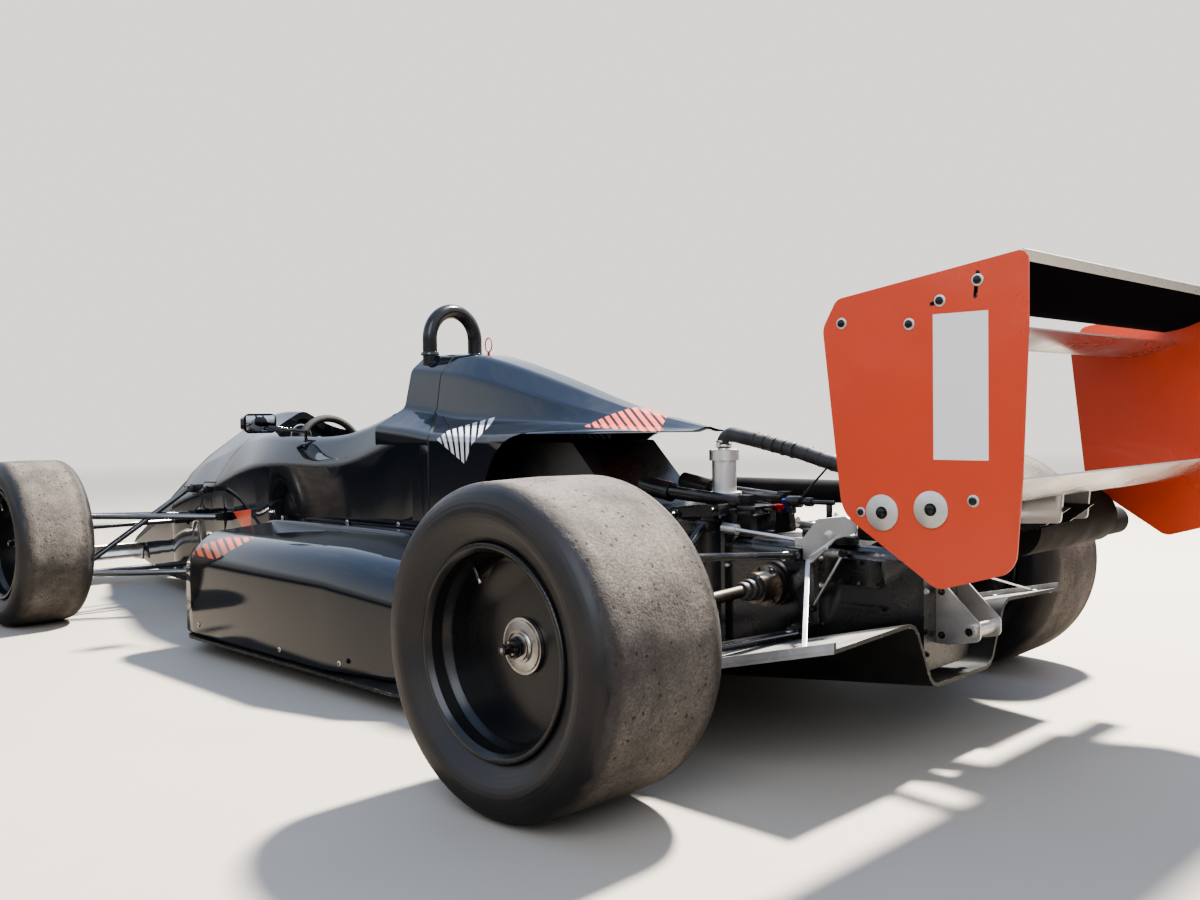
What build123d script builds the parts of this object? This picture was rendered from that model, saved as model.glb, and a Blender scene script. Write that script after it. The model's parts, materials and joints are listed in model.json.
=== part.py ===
from build123d import *
import os

os.makedirs("parts", exist_ok=True)

# Open wheel racing car, single seat, rear engine. Lengths in millimetres.
# It faces -Y, its left side is +X, and the ground is z = 0.
# Places along the car are measured rearwards from the rear axle.

# Layout
wheelbase = 2610
front_overhang = 950
rear_overhang = 728
rear_track = 1550
front_track = 1520
rear_axle_y = (front_overhang + wheelbase - rear_overhang) / 2
front_axle = -wheelbase
# Heights of the wheels' centres, which are the tyres' radii
front_hub_z = 275
rear_hub_z = 285

# Clearances
seam = 0.3
bore_gap = 0.3
running_gap = 6


def cross_plane(y):
    """Plane across the car, y behind the rear axle: local x to the left, local y up."""
    return Plane(origin=(0, rear_axle_y + y, 0), x_dir=(1, 0, 0), z_dir=(0, -1, 0))


def side_plane(x):
    """Plane along the car: local x rearwards from the rear axle, local y up."""
    return Plane(origin=(x, rear_axle_y, 0), x_dir=(0, 1, 0), z_dir=(1, 0, 0))


def level_plane(z):
    """Level plane: local x to the left, local y rearwards from the rear axle."""
    return Plane(origin=(0, rear_axle_y, z), x_dir=(1, 0, 0), z_dir=(0, 0, 1))


def spot(x, y, z):
    """A point of the car, y behind the rear axle."""
    return Vector(x, rear_axle_y + y, z)


def bar(start, end, diameter, mode=Mode.ADD):
    """Round bar or hole from one point to another."""
    line = spot(*end) - spot(*start)
    with Locations(Plane(origin=spot(*start), z_dir=line)):
        Cylinder(diameter / 2, line.length, align=(Align.CENTER, Align.CENTER, Align.MIN), mode=mode)


def blade(start, end, chord, thickness):
    """Flattened suspension link, its wide side level, from one point to another."""
    line = spot(*end) - spot(*start)
    with BuildSketch(Plane(origin=spot(*start), x_dir=(0, 1, 0), z_dir=line)) as profile:
        SlotOverall(chord, thickness)
    extrude(profile.sketch, amount=line.length)


def block(low, high, mode=Mode.ADD):
    """Box between two corners."""
    size = spot(*high) - spot(*low)
    with Locations(spot(*low)):
        Box(size.X, size.Y, size.Z, align=(Align.MIN, Align.MIN, Align.MIN), mode=mode)


def foot(side, x, y, z, depth):
    """Block on the car's side that carries the end of a link, its face at x."""
    low = (min(side * x, side * (x - depth)), y - foot_size[0] / 2, z - foot_size[1] / 2)
    high = (max(side * x, side * (x - depth)), y + foot_size[0] / 2, z + foot_size[1] / 2)
    block(low, high)


def rounded_face(plane, points, radii):
    """Face bounded by straight edges, with the corners rounded to the radii."""
    with BuildSketch(plane) as face:
        with BuildLine():
            FilletPolyline(*points, radius=radii, close=True)
        make_face()
    return face.sketch


def plate(x, thickness, points, radii, mode=Mode.ADD):
    """Upright plate along the car, from x towards the left by its thickness."""
    extrude(rounded_face(side_plane(x), points, radii), amount=thickness, mode=mode)


# Tub sections: y, ridge z, shoulder half width, shoulder z, flank half width, flank z,
# foot half width, foot z
bulkhead_y = front_axle - 290
leg_end_y = front_axle - 40
cockpit_rear_y = -1300
tub_rear_y = -1050
foot_z = 52
tub_wall = 22
deck_z = 600
tub_sections = [
    (bulkhead_y, 517, 78, 432, 142, 330, 135, foot_z),
    (leg_end_y, 622, 100, 520, 166, 400, 150, foot_z),
    (front_axle + 210, 702, 120, 574, 186, 452, 175, foot_z),
    (-2170, 712, 165, 610, 232, 500, 222, foot_z),
    (-1830, 655, 215, 622, 262, 540, 258, foot_z),
    (-1560, 655, 215, 627, 262, 540, 258, foot_z),
    (cockpit_rear_y, 740, 200, 684, 258, 590, 256, foot_z),
    (tub_rear_y, 740, 200, 684, 254, 590, 254, foot_z),
]
tub_rounding = (45, 60, 60, 25, 25, 60, 60)


def arch_section(y, ridge_z, shoulder, shoulder_z, flank, flank_z, foot, low_z, inset=0):
    """Pointed arch section of the tub or the nose; inset gives its inner face."""
    left = [
        (shoulder - inset, shoulder_z - inset),
        (flank - inset, flank_z),
        (foot - inset, low_z + inset),
    ]
    right = [(-x, z) for x, z in reversed(left)]
    return rounded_face(cross_plane(y), [(0, ridge_z - inset)] + left + right, tub_rounding)


# Cockpit opening in plan: x, y
opening_front_y = -2130
opening_half = 205
opening = [
    (120, opening_front_y),
    (opening_half, opening_front_y + 200),
    (opening_half, cockpit_rear_y - 190),
    (150, cockpit_rear_y),
    (-150, cockpit_rear_y),
    (-opening_half, cockpit_rear_y - 190),
    (-opening_half, opening_front_y + 200),
    (-120, opening_front_y),
]
opening_rounding = (90, 120, 150, 40, 40, 150, 120, 90)

# Front suspension, left side; the right side is mirrored
kingpin_x = 648
front_upper_z = 352
front_lower_z = 151
eye_height = 16
eye_width = 34
pin_diameter = 12
arm_diameter = 20
# Feet of the front arms on the tub: name, x of the foot's face, y, z
front_feet = {
    "upper_front": (184, front_axle - 2, 330),
    "upper_rear": (218, front_axle + 280, 336),
    "lower_front": (184, front_axle - 2, 146),
    "lower_rear": (212, front_axle + 300, 146),
    "rocker": (196, front_axle + 12, 424),
}
foot_size = (40, 30)
foot_depth = 34

# Steering: rack across the tub ahead of the front axle
rack_y = front_axle - 100
rack_z = 300
rack_diameter = 24
column_diameter = 22
wheel_centre = (0, -1950, 560)
column_slope = 0.21
steering_rim_radius = 120
dash_y = -2170

# Mirrors
mirror_pin = (222, -1735)
mirror_pin_diameter = 10

# Roll hoop
hoop_y = -1262
hoop_half = 84
hoop_diameter = 42
hoop_arch_z = 907

with BuildPart() as monocoque:
    loft([arch_section(*row) for row in tub_sections])
    loft([arch_section(*row, inset=tub_wall) for row in tub_sections[1:7]], mode=Mode.SUBTRACT)
    extrude(rounded_face(level_plane(deck_z - 160), opening, opening_rounding), amount=320, mode=Mode.SUBTRACT)
    block((-320, cockpit_rear_y, deck_z), (320, tub_rear_y + 10, deck_z + 200), Mode.SUBTRACT)
    for x, y, z in front_feet.values():
        for side in (1, -1):
            foot(side, x, y, z, foot_depth)
    bar((-240, rack_y, rack_z), (240, rack_y, rack_z), rack_diameter + 2 * running_gap, Mode.SUBTRACT)
    for side in (1, -1):
        bar((side * mirror_pin[0], mirror_pin[1], deck_z - 20), (side * mirror_pin[0], mirror_pin[1], deck_z + 60),
            mirror_pin_diameter + 2 * bore_gap, Mode.SUBTRACT)
monocoque.part.label = "monocoque"

# Engine cover sections: y, crown half width, crown z, dome half width, dome z,
# crease half width, crease z, shoulder half width, shoulder z, share of the rounding
cover_wall = 6
cover_seam_y = -1158
cover_low_z = 340
cover_sections = [
    (cockpit_rear_y, 70, 858, 124, 815, 150, 705, 254, 650, 1),
    (cover_seam_y, 70, 857, 124, 800, 142, 690, 254, 640, 1),
    (-1044, 60, 847, 122, 786, 142, 674, 254, 628, 1),
    (-794, 45, 779, 108, 733, 138, 662, 262, 626, 1),
    (-530, 30, 697, 82, 676, 120, 652, 268, 637, 0.5),
    (-279, 10, 644, 22, 641, 36, 638, 60, 635, 0.06),
]
# Rounding of the crown, dome, crease and shoulder
cover_rounding = (40, 40, 30, 25)


def cover_section(y, crown, crown_z, dome, dome_z, crease, crease_z, shoulder, shoulder_z, share, inset=0):
    """Section of the engine cover, from a flat crown over a dome and a crease to the flank."""
    left = [
        (crown - inset / 2, crown_z - inset),
        (dome - inset, dome_z - inset),
        (crease - inset, crease_z - inset),
        (shoulder - inset, shoulder_z - inset),
        (shoulder - inset, cover_low_z - inset),
    ]
    radii = [share * radius for radius in cover_rounding] + [0]
    right = [(-x, z) for x, z in reversed(left)]
    return rounded_face(cross_plane(y), left + right, radii + radii[::-1])


def flowing(rows, steps):
    """Rows of a table with others between them, so that each column runs smoothly along the first."""
    slopes = []
    for before, after in zip(rows[:1] + rows[:-1], rows[1:] + rows[-1:]):
        slopes.append([(b - a) / (after[0] - before[0]) for a, b in zip(before, after)])
    dense = []
    for i in range(len(rows) - 1):
        span = rows[i + 1][0] - rows[i][0]
        for t in [step / steps for step in range(steps)]:
            rise = t * t * (3 - 2 * t)
            dense.append([
                a + rise * (b - a) + span * t * (1 - t) * ((1 - t) * start - t * end)
                for a, b, start, end in zip(rows[i], rows[i + 1], slopes[i], slopes[i + 1])
            ])
    return dense + [rows[-1]]


cover_rows = flowing(cover_sections, 3)

# Side view of the front seam of the engine cover and of its rear arch: y, z
arch_front_y = -835
arch_top_z = 632
arch_radius = 185
seam_knee_z = 690


def front_of_seam(gap):
    """Side view of what lies ahead of the cover's front seam."""
    return [
        (cover_seam_y - 300, 0),
        (tub_rear_y + gap, 0),
        (tub_rear_y + gap, 633),
        (cover_seam_y + gap, seam_knee_z),
        (cover_seam_y + gap, 1000),
        (cover_seam_y - 300, 1000),
    ]


with BuildPart() as engine_cover:
    loft([cover_section(*row) for row in cover_rows], ruled=True)
    plate(-400, 800, front_of_seam(seam), 0, Mode.SUBTRACT)
    plate(-400, 800, [(arch_front_y, 0), (arch_front_y + 35, arch_top_z), (0, arch_top_z), (0, 0)],
          (0, arch_radius, 0, 0), Mode.SUBTRACT)
    loft([cover_section(*row, inset=cover_wall) for row in cover_rows], ruled=True, mode=Mode.SUBTRACT)
engine_cover.part.label = "engine_cover"

# Fairing round the roll hoop's legs, from the headrest to the engine cover's seam
with BuildPart() as hoop_fairing:
    loft([cover_section(*row) for row in cover_rows], ruled=True)
    plate(-400, 800, front_of_seam(0), 0, Mode.INTERSECT)
    block((-320, cockpit_rear_y, 0), (320, tub_rear_y + 20, deck_z + seam), Mode.SUBTRACT)
    for side in (1, -1):
        bar((side * hoop_half, hoop_y, deck_z), (side * hoop_half, hoop_y, deck_z + 300),
            hoop_diameter + 2 * bore_gap, Mode.SUBTRACT)
hoop_fairing.part.label = "hoop_fairing"

with BuildPart() as roll_hoop:
    with BuildLine():
        leg = Line(spot(hoop_half, hoop_y, deck_z + seam), spot(hoop_half, hoop_y, hoop_arch_z))
        arch = ThreePointArc(leg @ 1, spot(0, hoop_y, hoop_arch_z + hoop_half), spot(-hoop_half, hoop_y, hoop_arch_z))
        Line(arch @ 1, spot(-hoop_half, hoop_y, deck_z + seam))
    with BuildSketch(Plane(origin=leg @ 0, z_dir=(0, 0, 1))):
        Circle(hoop_diameter / 2)
    sweep()
roll_hoop.part.label = "roll_hoop"

# Nose cone sections, ahead of the front bulkhead, with the tub's columns
nose_tip_y = front_axle - 880
nose_sections = [
    (bulkhead_y - seam, 517, 78, 432, 142, 330, 135, foot_z),
    (front_axle - 523, 400, 58, 335, 108, 255, 100, 60),
    (front_axle - 724, 290, 46, 244, 76, 195, 70, 80),
    (nose_tip_y, 196, 36, 176, 50, 150, 47, 98),
]
nose_rounding = (26, 12, 12, 14, 14, 12, 12)
# Spars of the front wing through the nose: y, z
wing_spars = ((front_axle - 840, 124), (front_axle - 760, 132))
spar_diameter = 22


def nose_section(y, ridge_z, shoulder, shoulder_z, flank, flank_z, foot, low_z):
    """Pointed arch section of the nose."""
    left = [(shoulder, shoulder_z), (flank, flank_z), (foot, low_z)]
    right = [(-x, z) for x, z in reversed(left)]
    return rounded_face(cross_plane(y), [(0, ridge_z)] + left + right, nose_rounding)


with BuildPart() as nose_cone:
    loft([nose_section(*row) for row in nose_sections])
    for y, z in wing_spars:
        bar((-200, y, z), (200, y, z), spar_diameter + 2 * bore_gap, Mode.SUBTRACT)
nose_cone.part.label = "nose_cone"

# Wings: the side profile runs from a round leading edge to a thin trailing edge
tail_thickness = 3


def wing_profile(x, lead, trail, bow, thickness):
    """Side profile of a wing, bowed downwards by the bow at the middle of its chord."""
    chord = Vector(*trail) - Vector(*lead)
    along = chord.normalized()
    upwards = Vector(-along.Y, along.X)
    nose = upwards * thickness * 0.3
    tail = upwards * tail_thickness / 2
    front = Vector(*lead) + along * thickness * 0.3
    rear = Vector(*trail)
    middle = (front + rear) / 2 - upwards * bow
    with BuildSketch(side_plane(x)) as profile:
        with BuildLine():
            ThreePointArc(front + nose, middle + upwards * thickness / 2, rear + tail)
            Line(rear + tail, rear - tail)
            ThreePointArc(rear - tail, middle - upwards * thickness / 2, front - nose)
            ThreePointArc(front - nose, Vector(*lead), front + nose)
        make_face()
    return profile.sketch


# Front wing, left half; y and z of each element's leading and trailing edge
front_wing_root_x = 84
front_wing_tip_x = 655
front_plate_thickness = 6
front_main = ((front_axle - front_overhang, 104), (front_axle - 735, 112))
front_flap = ((front_axle - 765, 128), (front_axle - 672, 168))
front_end_plate = [
    (front_axle - front_overhang, 60),
    (front_axle - 660, 60),
    (front_axle - 645, 190),
    (front_axle - 740, 214),
    (front_axle - front_overhang, 150),
]

with BuildPart() as front_wing_left:
    extrude(wing_profile(front_wing_root_x, *front_main, 8, 24), amount=front_wing_tip_x - front_wing_root_x)
    extrude(wing_profile(front_wing_root_x, *front_flap, 6, 12), amount=front_wing_tip_x - front_wing_root_x)
    plate(front_wing_root_x, front_plate_thickness,
          [(front_axle - 900, 92), (front_axle - 700, 92), (front_axle - 690, 160), (front_axle - 780, 160)], 8)
    plate(front_wing_tip_x - front_plate_thickness, front_plate_thickness, front_end_plate, 18)
    for y, z in wing_spars:
        bar((seam, y, z), (front_wing_root_x + 4, y, z), spar_diameter)
front_wing_left.part.label = "front_wing_left"

with BuildPart() as front_wing_right:
    mirror(front_wing_left.part, about=Plane.YZ)
front_wing_right.part.label = "front_wing_right"

# Floor: flat from under the pods' fronts, then one sheet that rises over two side
# tunnels, with a channel between them that holds the gearbox
floor_z = 44
floor_sheet = foot_z - seam - floor_z
floor_front_y = -1850
diffuser_front_y = -560
diffuser_rear_y = 369
floor_half = 628
floor_rear_half = 590
floor_plan = [
    (-520, floor_front_y),
    (520, floor_front_y),
    (floor_half, floor_front_y + 120),
    (floor_half, diffuser_front_y - 130),
    (floor_rear_half, diffuser_front_y),
    (-floor_rear_half, diffuser_front_y),
    (-floor_half, diffuser_front_y - 130),
    (-floor_half, floor_front_y + 120),
]
# Lower face of the diffuser at its rear edge: x, z, from the channel's middle to the outer edge
diffuser_rear = [
    (100, 143), (118, 148), (133, 163), (156, 212), (178, 254), (188, 265), (203, 271), (225, 271), (455, 262),
]
edge_lip = (6, 20)


def sheet_upper(line):
    """Upper face of the diffuser's sheet over the line of its lower face."""
    upper = []
    for before, (x, z), after in zip(line[:1] + line, line, line[1:] + line[-1:]):
        along = (Vector(*after) - Vector(*before)).normalized()
        upper.append((x - along.Y * floor_sheet, z + along.X * floor_sheet))
    return upper


def diffuser_strip(front, rear):
    """Part of the diffuser between a front and a rear outline of the same corners."""
    ends = [rounded_face(cross_plane(diffuser_front_y), front, 0), rounded_face(cross_plane(diffuser_rear_y), rear, 0)]
    loft(ends, ruled=True)


def lip_outline(side, x, z):
    """Outline of the upstanding lip at an outer edge."""
    width, height = edge_lip
    return [(side * x, z), (side * x, z + height), (side * (x - width), z + height), (side * (x - width), z)]


with BuildPart() as floor:
    extrude(rounded_face(level_plane(floor_z), floor_plan, (60, 60, 80, 0, 0, 0, 0, 80)), amount=floor_sheet)
    rear_line = [(-x, z) for x, z in reversed(diffuser_rear)] + diffuser_rear
    front_line = [(x, floor_z) for x, z in rear_line]
    front_line[0] = (-floor_rear_half, floor_z)
    front_line[-1] = (floor_rear_half, floor_z)
    front_upper = sheet_upper(front_line)
    rear_upper = sheet_upper(rear_line)
    for i in range(len(rear_line) - 1):
        diffuser_strip(
            front_line[i : i + 2] + [front_upper[i + 1], front_upper[i]],
            rear_line[i : i + 2] + [rear_upper[i + 1], rear_upper[i]],
        )
    for side in (1, -1):
        diffuser_strip(lip_outline(side, *front_line[-1]), lip_outline(side, *rear_line[-1]))
floor.part.label = "floor"

# Sidepod sections, left side: y, outer x, top z
pod_inner_x = 264
pod_wall = 10
pod_low_z = foot_z
pod_sections = [
    (-1790, 592, 322),
    (-1765, 610, 346),
    (-1700, 620, 366),
    (-1000, 620, 366),
    (-760, 575, 336),
    (-560, 480, 270),
]
pod_rounding = (12, 20, 100, 14)
radiator_y = -1420
radiator_depth = 60


def pod_section(y, outer, top_z, inset=0):
    """Section of the left sidepod, with a large outer shoulder."""
    points = [
        (pod_inner_x + inset, pod_low_z + inset),
        (pod_inner_x + inset, top_z + 5 - inset),
        (outer - inset, top_z - 22 - inset),
        (outer - inset, pod_low_z + inset),
    ]
    return rounded_face(cross_plane(y), points, [max(radius - inset, 4) for radius in pod_rounding])


with BuildPart() as sidepod_left:
    loft([pod_section(*row) for row in pod_sections], ruled=True)
    loft([pod_section(*row, inset=pod_wall) for row in pod_sections], ruled=True, mode=Mode.SUBTRACT)
sidepod_left.part.label = "sidepod_left"

with BuildPart() as sidepod_right:
    mirror(sidepod_left.part, about=Plane.YZ)
sidepod_right.part.label = "sidepod_right"

with BuildPart() as radiators:
    core = pod_section(radiator_y, *pod_sections[3][1:], inset=pod_wall + seam)
    extrude(core, amount=radiator_depth)
    mirror(about=Plane.YZ)
radiators.part.label = "radiators"

# Engine: one plain block with its top rear edge cut off
bell_front_y = -430
engine_half = 150
engine_side = [
    (tub_rear_y + seam, foot_z + 28),
    (bell_front_y - seam, foot_z + 40),
    (bell_front_y - seam, 440),
    (-478, 492),
    (-592, 608),
    (tub_rear_y + seam, 608),
]

with BuildPart() as engine:
    plate(-engine_half, 2 * engine_half, engine_side, (0, 0, 6, 12, 12, 0))
engine.part.label = "engine"

# Gearbox: bell housing with the oil tank on top, main case, and tail: y, half width, low z, top z
gearbox_rear_y = 335
case_top_z = 400
axle_shaft_z = 310
gearbox_sections = [
    (bell_front_y, 150, 110, 452),
    (-300, 120, 125, 452),
    (-150, 100, 140, 452),
]
case_sections = [
    (-150, 96, 140, case_top_z),
    (100, 104, 150, case_top_z),
    (gearbox_rear_y, 84, 172, case_top_z),
]
# Flanges round the casing, and half the width over its side covers and ribs
flange_sections = [
    (-290, 128, 117, 458),
    (-144, 110, 132, 458),
    (106, 112, 142, 406),
    (gearbox_rear_y, 92, 164, case_top_z),
]
flange_thickness = 11
cover_half = 106
output_boss_x = 132
output_boss_diameter = 96
spigot_diameter = 40
spigot_depth = 15
case_foot_depth = 62
neck_y = -231
neck_base_z = 452


def case_section(y, half, low_z, top_z):
    """Section of the gearbox casing."""
    return rounded_face(cross_plane(y), [(-half, low_z), (half, low_z), (half, top_z), (-half, top_z)], 28)


# Feet of the rear arms on the gearbox: name, x of the foot's face, y, z
rear_feet = {
    "upper_rear": (150, 74, 380),
    "upper_front": (150, -236, 390),
    "lower_rear": (150, 84, 219),
    "lower_front": (150, -236, 192),
    "rocker": (128, -176, 424),
}

with BuildPart() as gearbox:
    loft([case_section(*row) for row in gearbox_sections], ruled=True)
    loft([case_section(*row) for row in case_sections], ruled=True)
    for y, half, low_z, top_z in flange_sections:
        extrude(case_section(y, half, low_z, top_z), amount=flange_thickness)
    block((-cover_half, 152, 321), (cover_half, 248, 375))
    block((-cover_half, 151, 274), (cover_half, 251, 282))
    bar((-output_boss_x, 0, axle_shaft_z), (output_boss_x, 0, axle_shaft_z), output_boss_diameter)
    for side in (1, -1):
        bar((side * output_boss_x, 0, axle_shaft_z), (side * (output_boss_x - spigot_depth - 1), 0, axle_shaft_z),
            spigot_diameter + 2 * bore_gap, Mode.SUBTRACT)
        for x, y, z in rear_feet.values():
            foot(side, x, y, z, case_foot_depth)
gearbox.part.label = "gearbox"

# Oil filler neck on the bell housing, and the catch tank that its breather hose ends in
neck_base_diameter = 81
neck_diameter = 57
cap_diameter = 70
cap_top_z = 590
hose_diameter = 35
tank_spot = (0, 262)
tank_diameter = 76
tank_top_z = 476

with BuildPart() as oil_system:
    for diameter, low_z, top_z in (
        (neck_base_diameter, neck_base_z + seam, 490),
        (neck_diameter, 490, 565),
        (cap_diameter, 565, cap_top_z),
        (hose_diameter - 6, cap_top_z, cap_top_z + 4),
    ):
        bar((0, neck_y, low_z), (0, neck_y, top_z), diameter)
    bar((*tank_spot, case_top_z + seam), (*tank_spot, tank_top_z), tank_diameter)
oil_system.part.label = "oil_system"

# Breather hose, held at both ends: x, y, z of its corners
hose_route = [
    (0, neck_y, cap_top_z + 4 + seam),
    (0, neck_y, 630),
    (0, -140, 614),
    (-6, -20, 588),
    (4, 90, 560),
    (-4, 190, 548),
    (*tank_spot, 530),
    (*tank_spot, tank_top_z + seam),
]
hose_radii = (26, 60, 200, 200, 90, 60)

with BuildPart() as breather_hose:
    with BuildLine() as hose_line:
        FilletPolyline(*[spot(*corner) for corner in hose_route], radius=hose_radii)
    with BuildSketch(Plane(origin=hose_line.line @ 0, z_dir=hose_line.line % 0)):
        Circle(hose_diameter / 2)
    sweep()
breather_hose.part.label = "breather_hose"

# Rear wing and its supports
plate_outer_x = 497
plate_thickness = 4
plate_inner_x = plate_outer_x - plate_thickness
wing_half = plate_inner_x - seam
rear_main = ((390, 818), (602, 812))
rear_flap_line = ((576, 838), (716, 900))
rear_beam = ((430, 512), (708, 572))
end_plate_outline = [
    (rear_overhang, 906),
    (rear_overhang, 802),
    (718, 568),
    (708, 436),
    (584, 398),
    (414, 508),
    (379, 812),
    (406, 858),
]
post_x = 50
post_thickness = 6
lug_x = post_x + post_thickness + seam
post_outline = [
    (196, case_top_z + seam),
    (325, case_top_z + seam),
    (420, 420),
    (560, 462),
    (604, 496),
    (470, 496),
    (380, 480),
    (280, 446),
]

with BuildPart() as rear_main_plane:
    extrude(wing_profile(-wing_half, *rear_main, 16, 26), amount=2 * wing_half)
rear_main_plane.part.label = "rear_main_plane"

with BuildPart() as rear_flap:
    extrude(wing_profile(-wing_half, *rear_flap_line, 9, 14), amount=2 * wing_half)
    plate(-wing_half, 2 * wing_half, [(712, 892), (716, 890), (722, 905), (718, 907)], 0)
rear_flap.part.label = "rear_flap"

with BuildPart() as beam_wing:
    extrude(wing_profile(-wing_half, *rear_beam, 18, 18), amount=2 * wing_half)
    for side in (1, -1):
        low_x = min(side * lug_x, side * (lug_x + post_thickness))
        plate(low_x, post_thickness, [(490, 462), (590, 468), (596, 530), (500, 522)], 8)
beam_wing.part.label = "beam_wing"

with BuildPart() as wing_posts:
    for low_x in (post_x, -post_x - post_thickness):
        plate(low_x, post_thickness, post_outline, 0)
wing_posts.part.label = "wing_posts"

with BuildPart() as end_plate_left:
    plate(plate_inner_x, plate_thickness, end_plate_outline, (14, 20, 30, 40, 30, 60, 30, 20))
end_plate_left.part.label = "end_plate_left"

with BuildPart() as end_plate_right:
    mirror(end_plate_left.part, about=Plane.YZ)
end_plate_right.part.label = "end_plate_right"

# Silencer across the tail, with its pipe from the engine's right side
can_y = 440
can_z = 441
can_diameter = 118
can_left_x = -66
can_right_x = -450
can_pin_diameter = 26
tail_pipe_diameter = 62
tail_pipe_end_x = -593
tail_pipe_z = can_z - 23
feed_diameter = 54
feed_x = -172

with BuildPart() as exhaust:
    bar((can_left_x, can_y, can_z), (can_right_x, can_y, can_z), can_diameter)
    bar((can_left_x, can_y, can_z), (-post_x - post_thickness - seam, can_y, can_z), can_pin_diameter)
    bar((can_right_x, can_y, tail_pipe_z), (tail_pipe_end_x, can_y, tail_pipe_z), tail_pipe_diameter)
    bar((tail_pipe_end_x + 60, can_y, tail_pipe_z), (tail_pipe_end_x - 1, can_y, tail_pipe_z),
        tail_pipe_diameter - 5, Mode.SUBTRACT)
    with BuildLine() as feed_line:
        FilletPolyline(
            spot(-engine_half - seam, -620, 430),
            spot(feed_x - 50, -620, 430),
            spot(feed_x - 14, -400, 486),
            spot(feed_x, 160, 490),
            spot(feed_x, can_y, can_z),
            radius=(50, 160, 240),
        )
    with BuildSketch(Plane(origin=feed_line.line @ 0, z_dir=feed_line.line % 0)):
        Circle(feed_diameter / 2)
    sweep()
exhaust.part.label = "exhaust"

# Jack bracket on the gearbox's tail
jack_plate_x = 40
jack_thickness = 5
jack_tube_diameter = 26
jack_bore = 16
jack_spot = (408, 246)
jack_outline = [
    (gearbox_rear_y + seam, 215),
    (gearbox_rear_y + seam, 330),
    (gearbox_rear_y + 22, 330),
    (428, 262),
    (428, 228),
    (gearbox_rear_y + 30, 215),
]

with BuildPart() as jack_bracket:
    for low_x in (jack_plate_x, -jack_plate_x - jack_thickness):
        plate(low_x, jack_thickness, jack_outline, (0, 0, 6, 14, 14, 6))
    bar((-jack_plate_x - 12, *jack_spot), (jack_plate_x + 12, *jack_spot), jack_tube_diameter)
    bar((-jack_plate_x - 20, *jack_spot), (jack_plate_x + 20, *jack_spot), jack_bore, Mode.SUBTRACT)
jack_bracket.part.label = "jack_bracket"

# Light alloy brackets of the tail, left side mirrored: a gusset behind the upper rear foot,
# a strap down to the diffuser's lip, and the gear rod on its clevises
gusset_x = 144
gusset_thickness = 6
gusset_outline = [
    (94.3, 416), (130, 457), (196, 466), (220, 456), (220, 434), (174, 419), (115, 365), (94.3, 372),
]
gusset_flange = [(130, 452), (130, 457), (196, 466), (196, 461)]
gear_rod_x = 114

with BuildPart() as tail_brackets:
    plate(gusset_x, gusset_thickness, gusset_outline, (3, 3, 6, 6, 6, 20, 6, 3))
    plate(gusset_x - 40, 42, gusset_flange, 0)
    blade((gusset_x + 3, 104, 372), (448, 303, 260.5), 10, 3)
    bar((gear_rod_x, -143.2, 420), (gear_rod_x, -104, 418), 24)
    bar((gear_rod_x, -106, 418), (gear_rod_x, 64, 405), 9)
    block((gear_rod_x - 10, 56, 395.5), (gear_rod_x + 10, 88, 412))
    mirror(about=Plane.YZ)
tail_brackets.part.label = "tail_brackets"

# Rear suspension, left side mirrored to the right
rear_centre_x = rear_track / 2
front_centre_x = front_track / 2
rear_upper_spot = (664, 0, 414)
rear_lower_spot = (664, 0, 216)
upright_low_x = 672
upright_high_x = 730
upright_face_x = 678
clevis_length = 24
stub_diameter = 50
housing_diameter = 96
disc_width = 20


def clevis(x, y, z, length):
    """Block at the end of a link, from x outwards by its length."""
    block((x, y - 15, z - 12), (x + length, y + 15, z + 12))


with BuildPart() as rear_wishbones:
    for name, outer in (
        ("upper_rear", rear_upper_spot),
        ("upper_front", rear_upper_spot),
        ("lower_rear", rear_lower_spot),
        ("lower_front", rear_lower_spot),
    ):
        x, y, z = rear_feet[name]
        clevis(x + seam, y, z, clevis_length)
        blade((x + clevis_length - 10, y, z), outer, 34, 14)
    for x, y, z in (rear_upper_spot, rear_lower_spot):
        clevis(upright_face_x - seam - clevis_length, y, z, clevis_length)
    x, y, z = rear_feet["rocker"]
    clevis(x + seam, y, z, clevis_length)
    bar((x + clevis_length - 8, y, z), (rear_lower_spot[0] - 16, -4, rear_lower_spot[2] + 4), 20)
    mirror(about=Plane.YZ)
rear_wishbones.part.label = "rear_wishbones"

caliper_inner = 88
caliper_outer = 142
caliper_half = 27


def caliper(centre_x, axle_y, hub_z, plane_x):
    """Brake caliper astride the disc, on the rear side of the upright."""
    low = (plane_x - caliper_half, axle_y + 60, hub_z - 52)
    high = (plane_x + caliper_half, axle_y + caliper_outer - 14, hub_z + 52)
    block(low, high)
    bar((plane_x - disc_width / 2 - 5, axle_y, hub_z), (plane_x + disc_width / 2 + 5, axle_y, hub_z),
        2 * (disc_radius + 5), Mode.SUBTRACT)
    block((plane_x, axle_y + 50, hub_z - 60), (plane_x + 40, axle_y + caliper_inner, hub_z + 60), Mode.SUBTRACT)


disc_radius = 122
rear_disc_x = rear_centre_x - 12
front_disc_x = front_centre_x - 22

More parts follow.
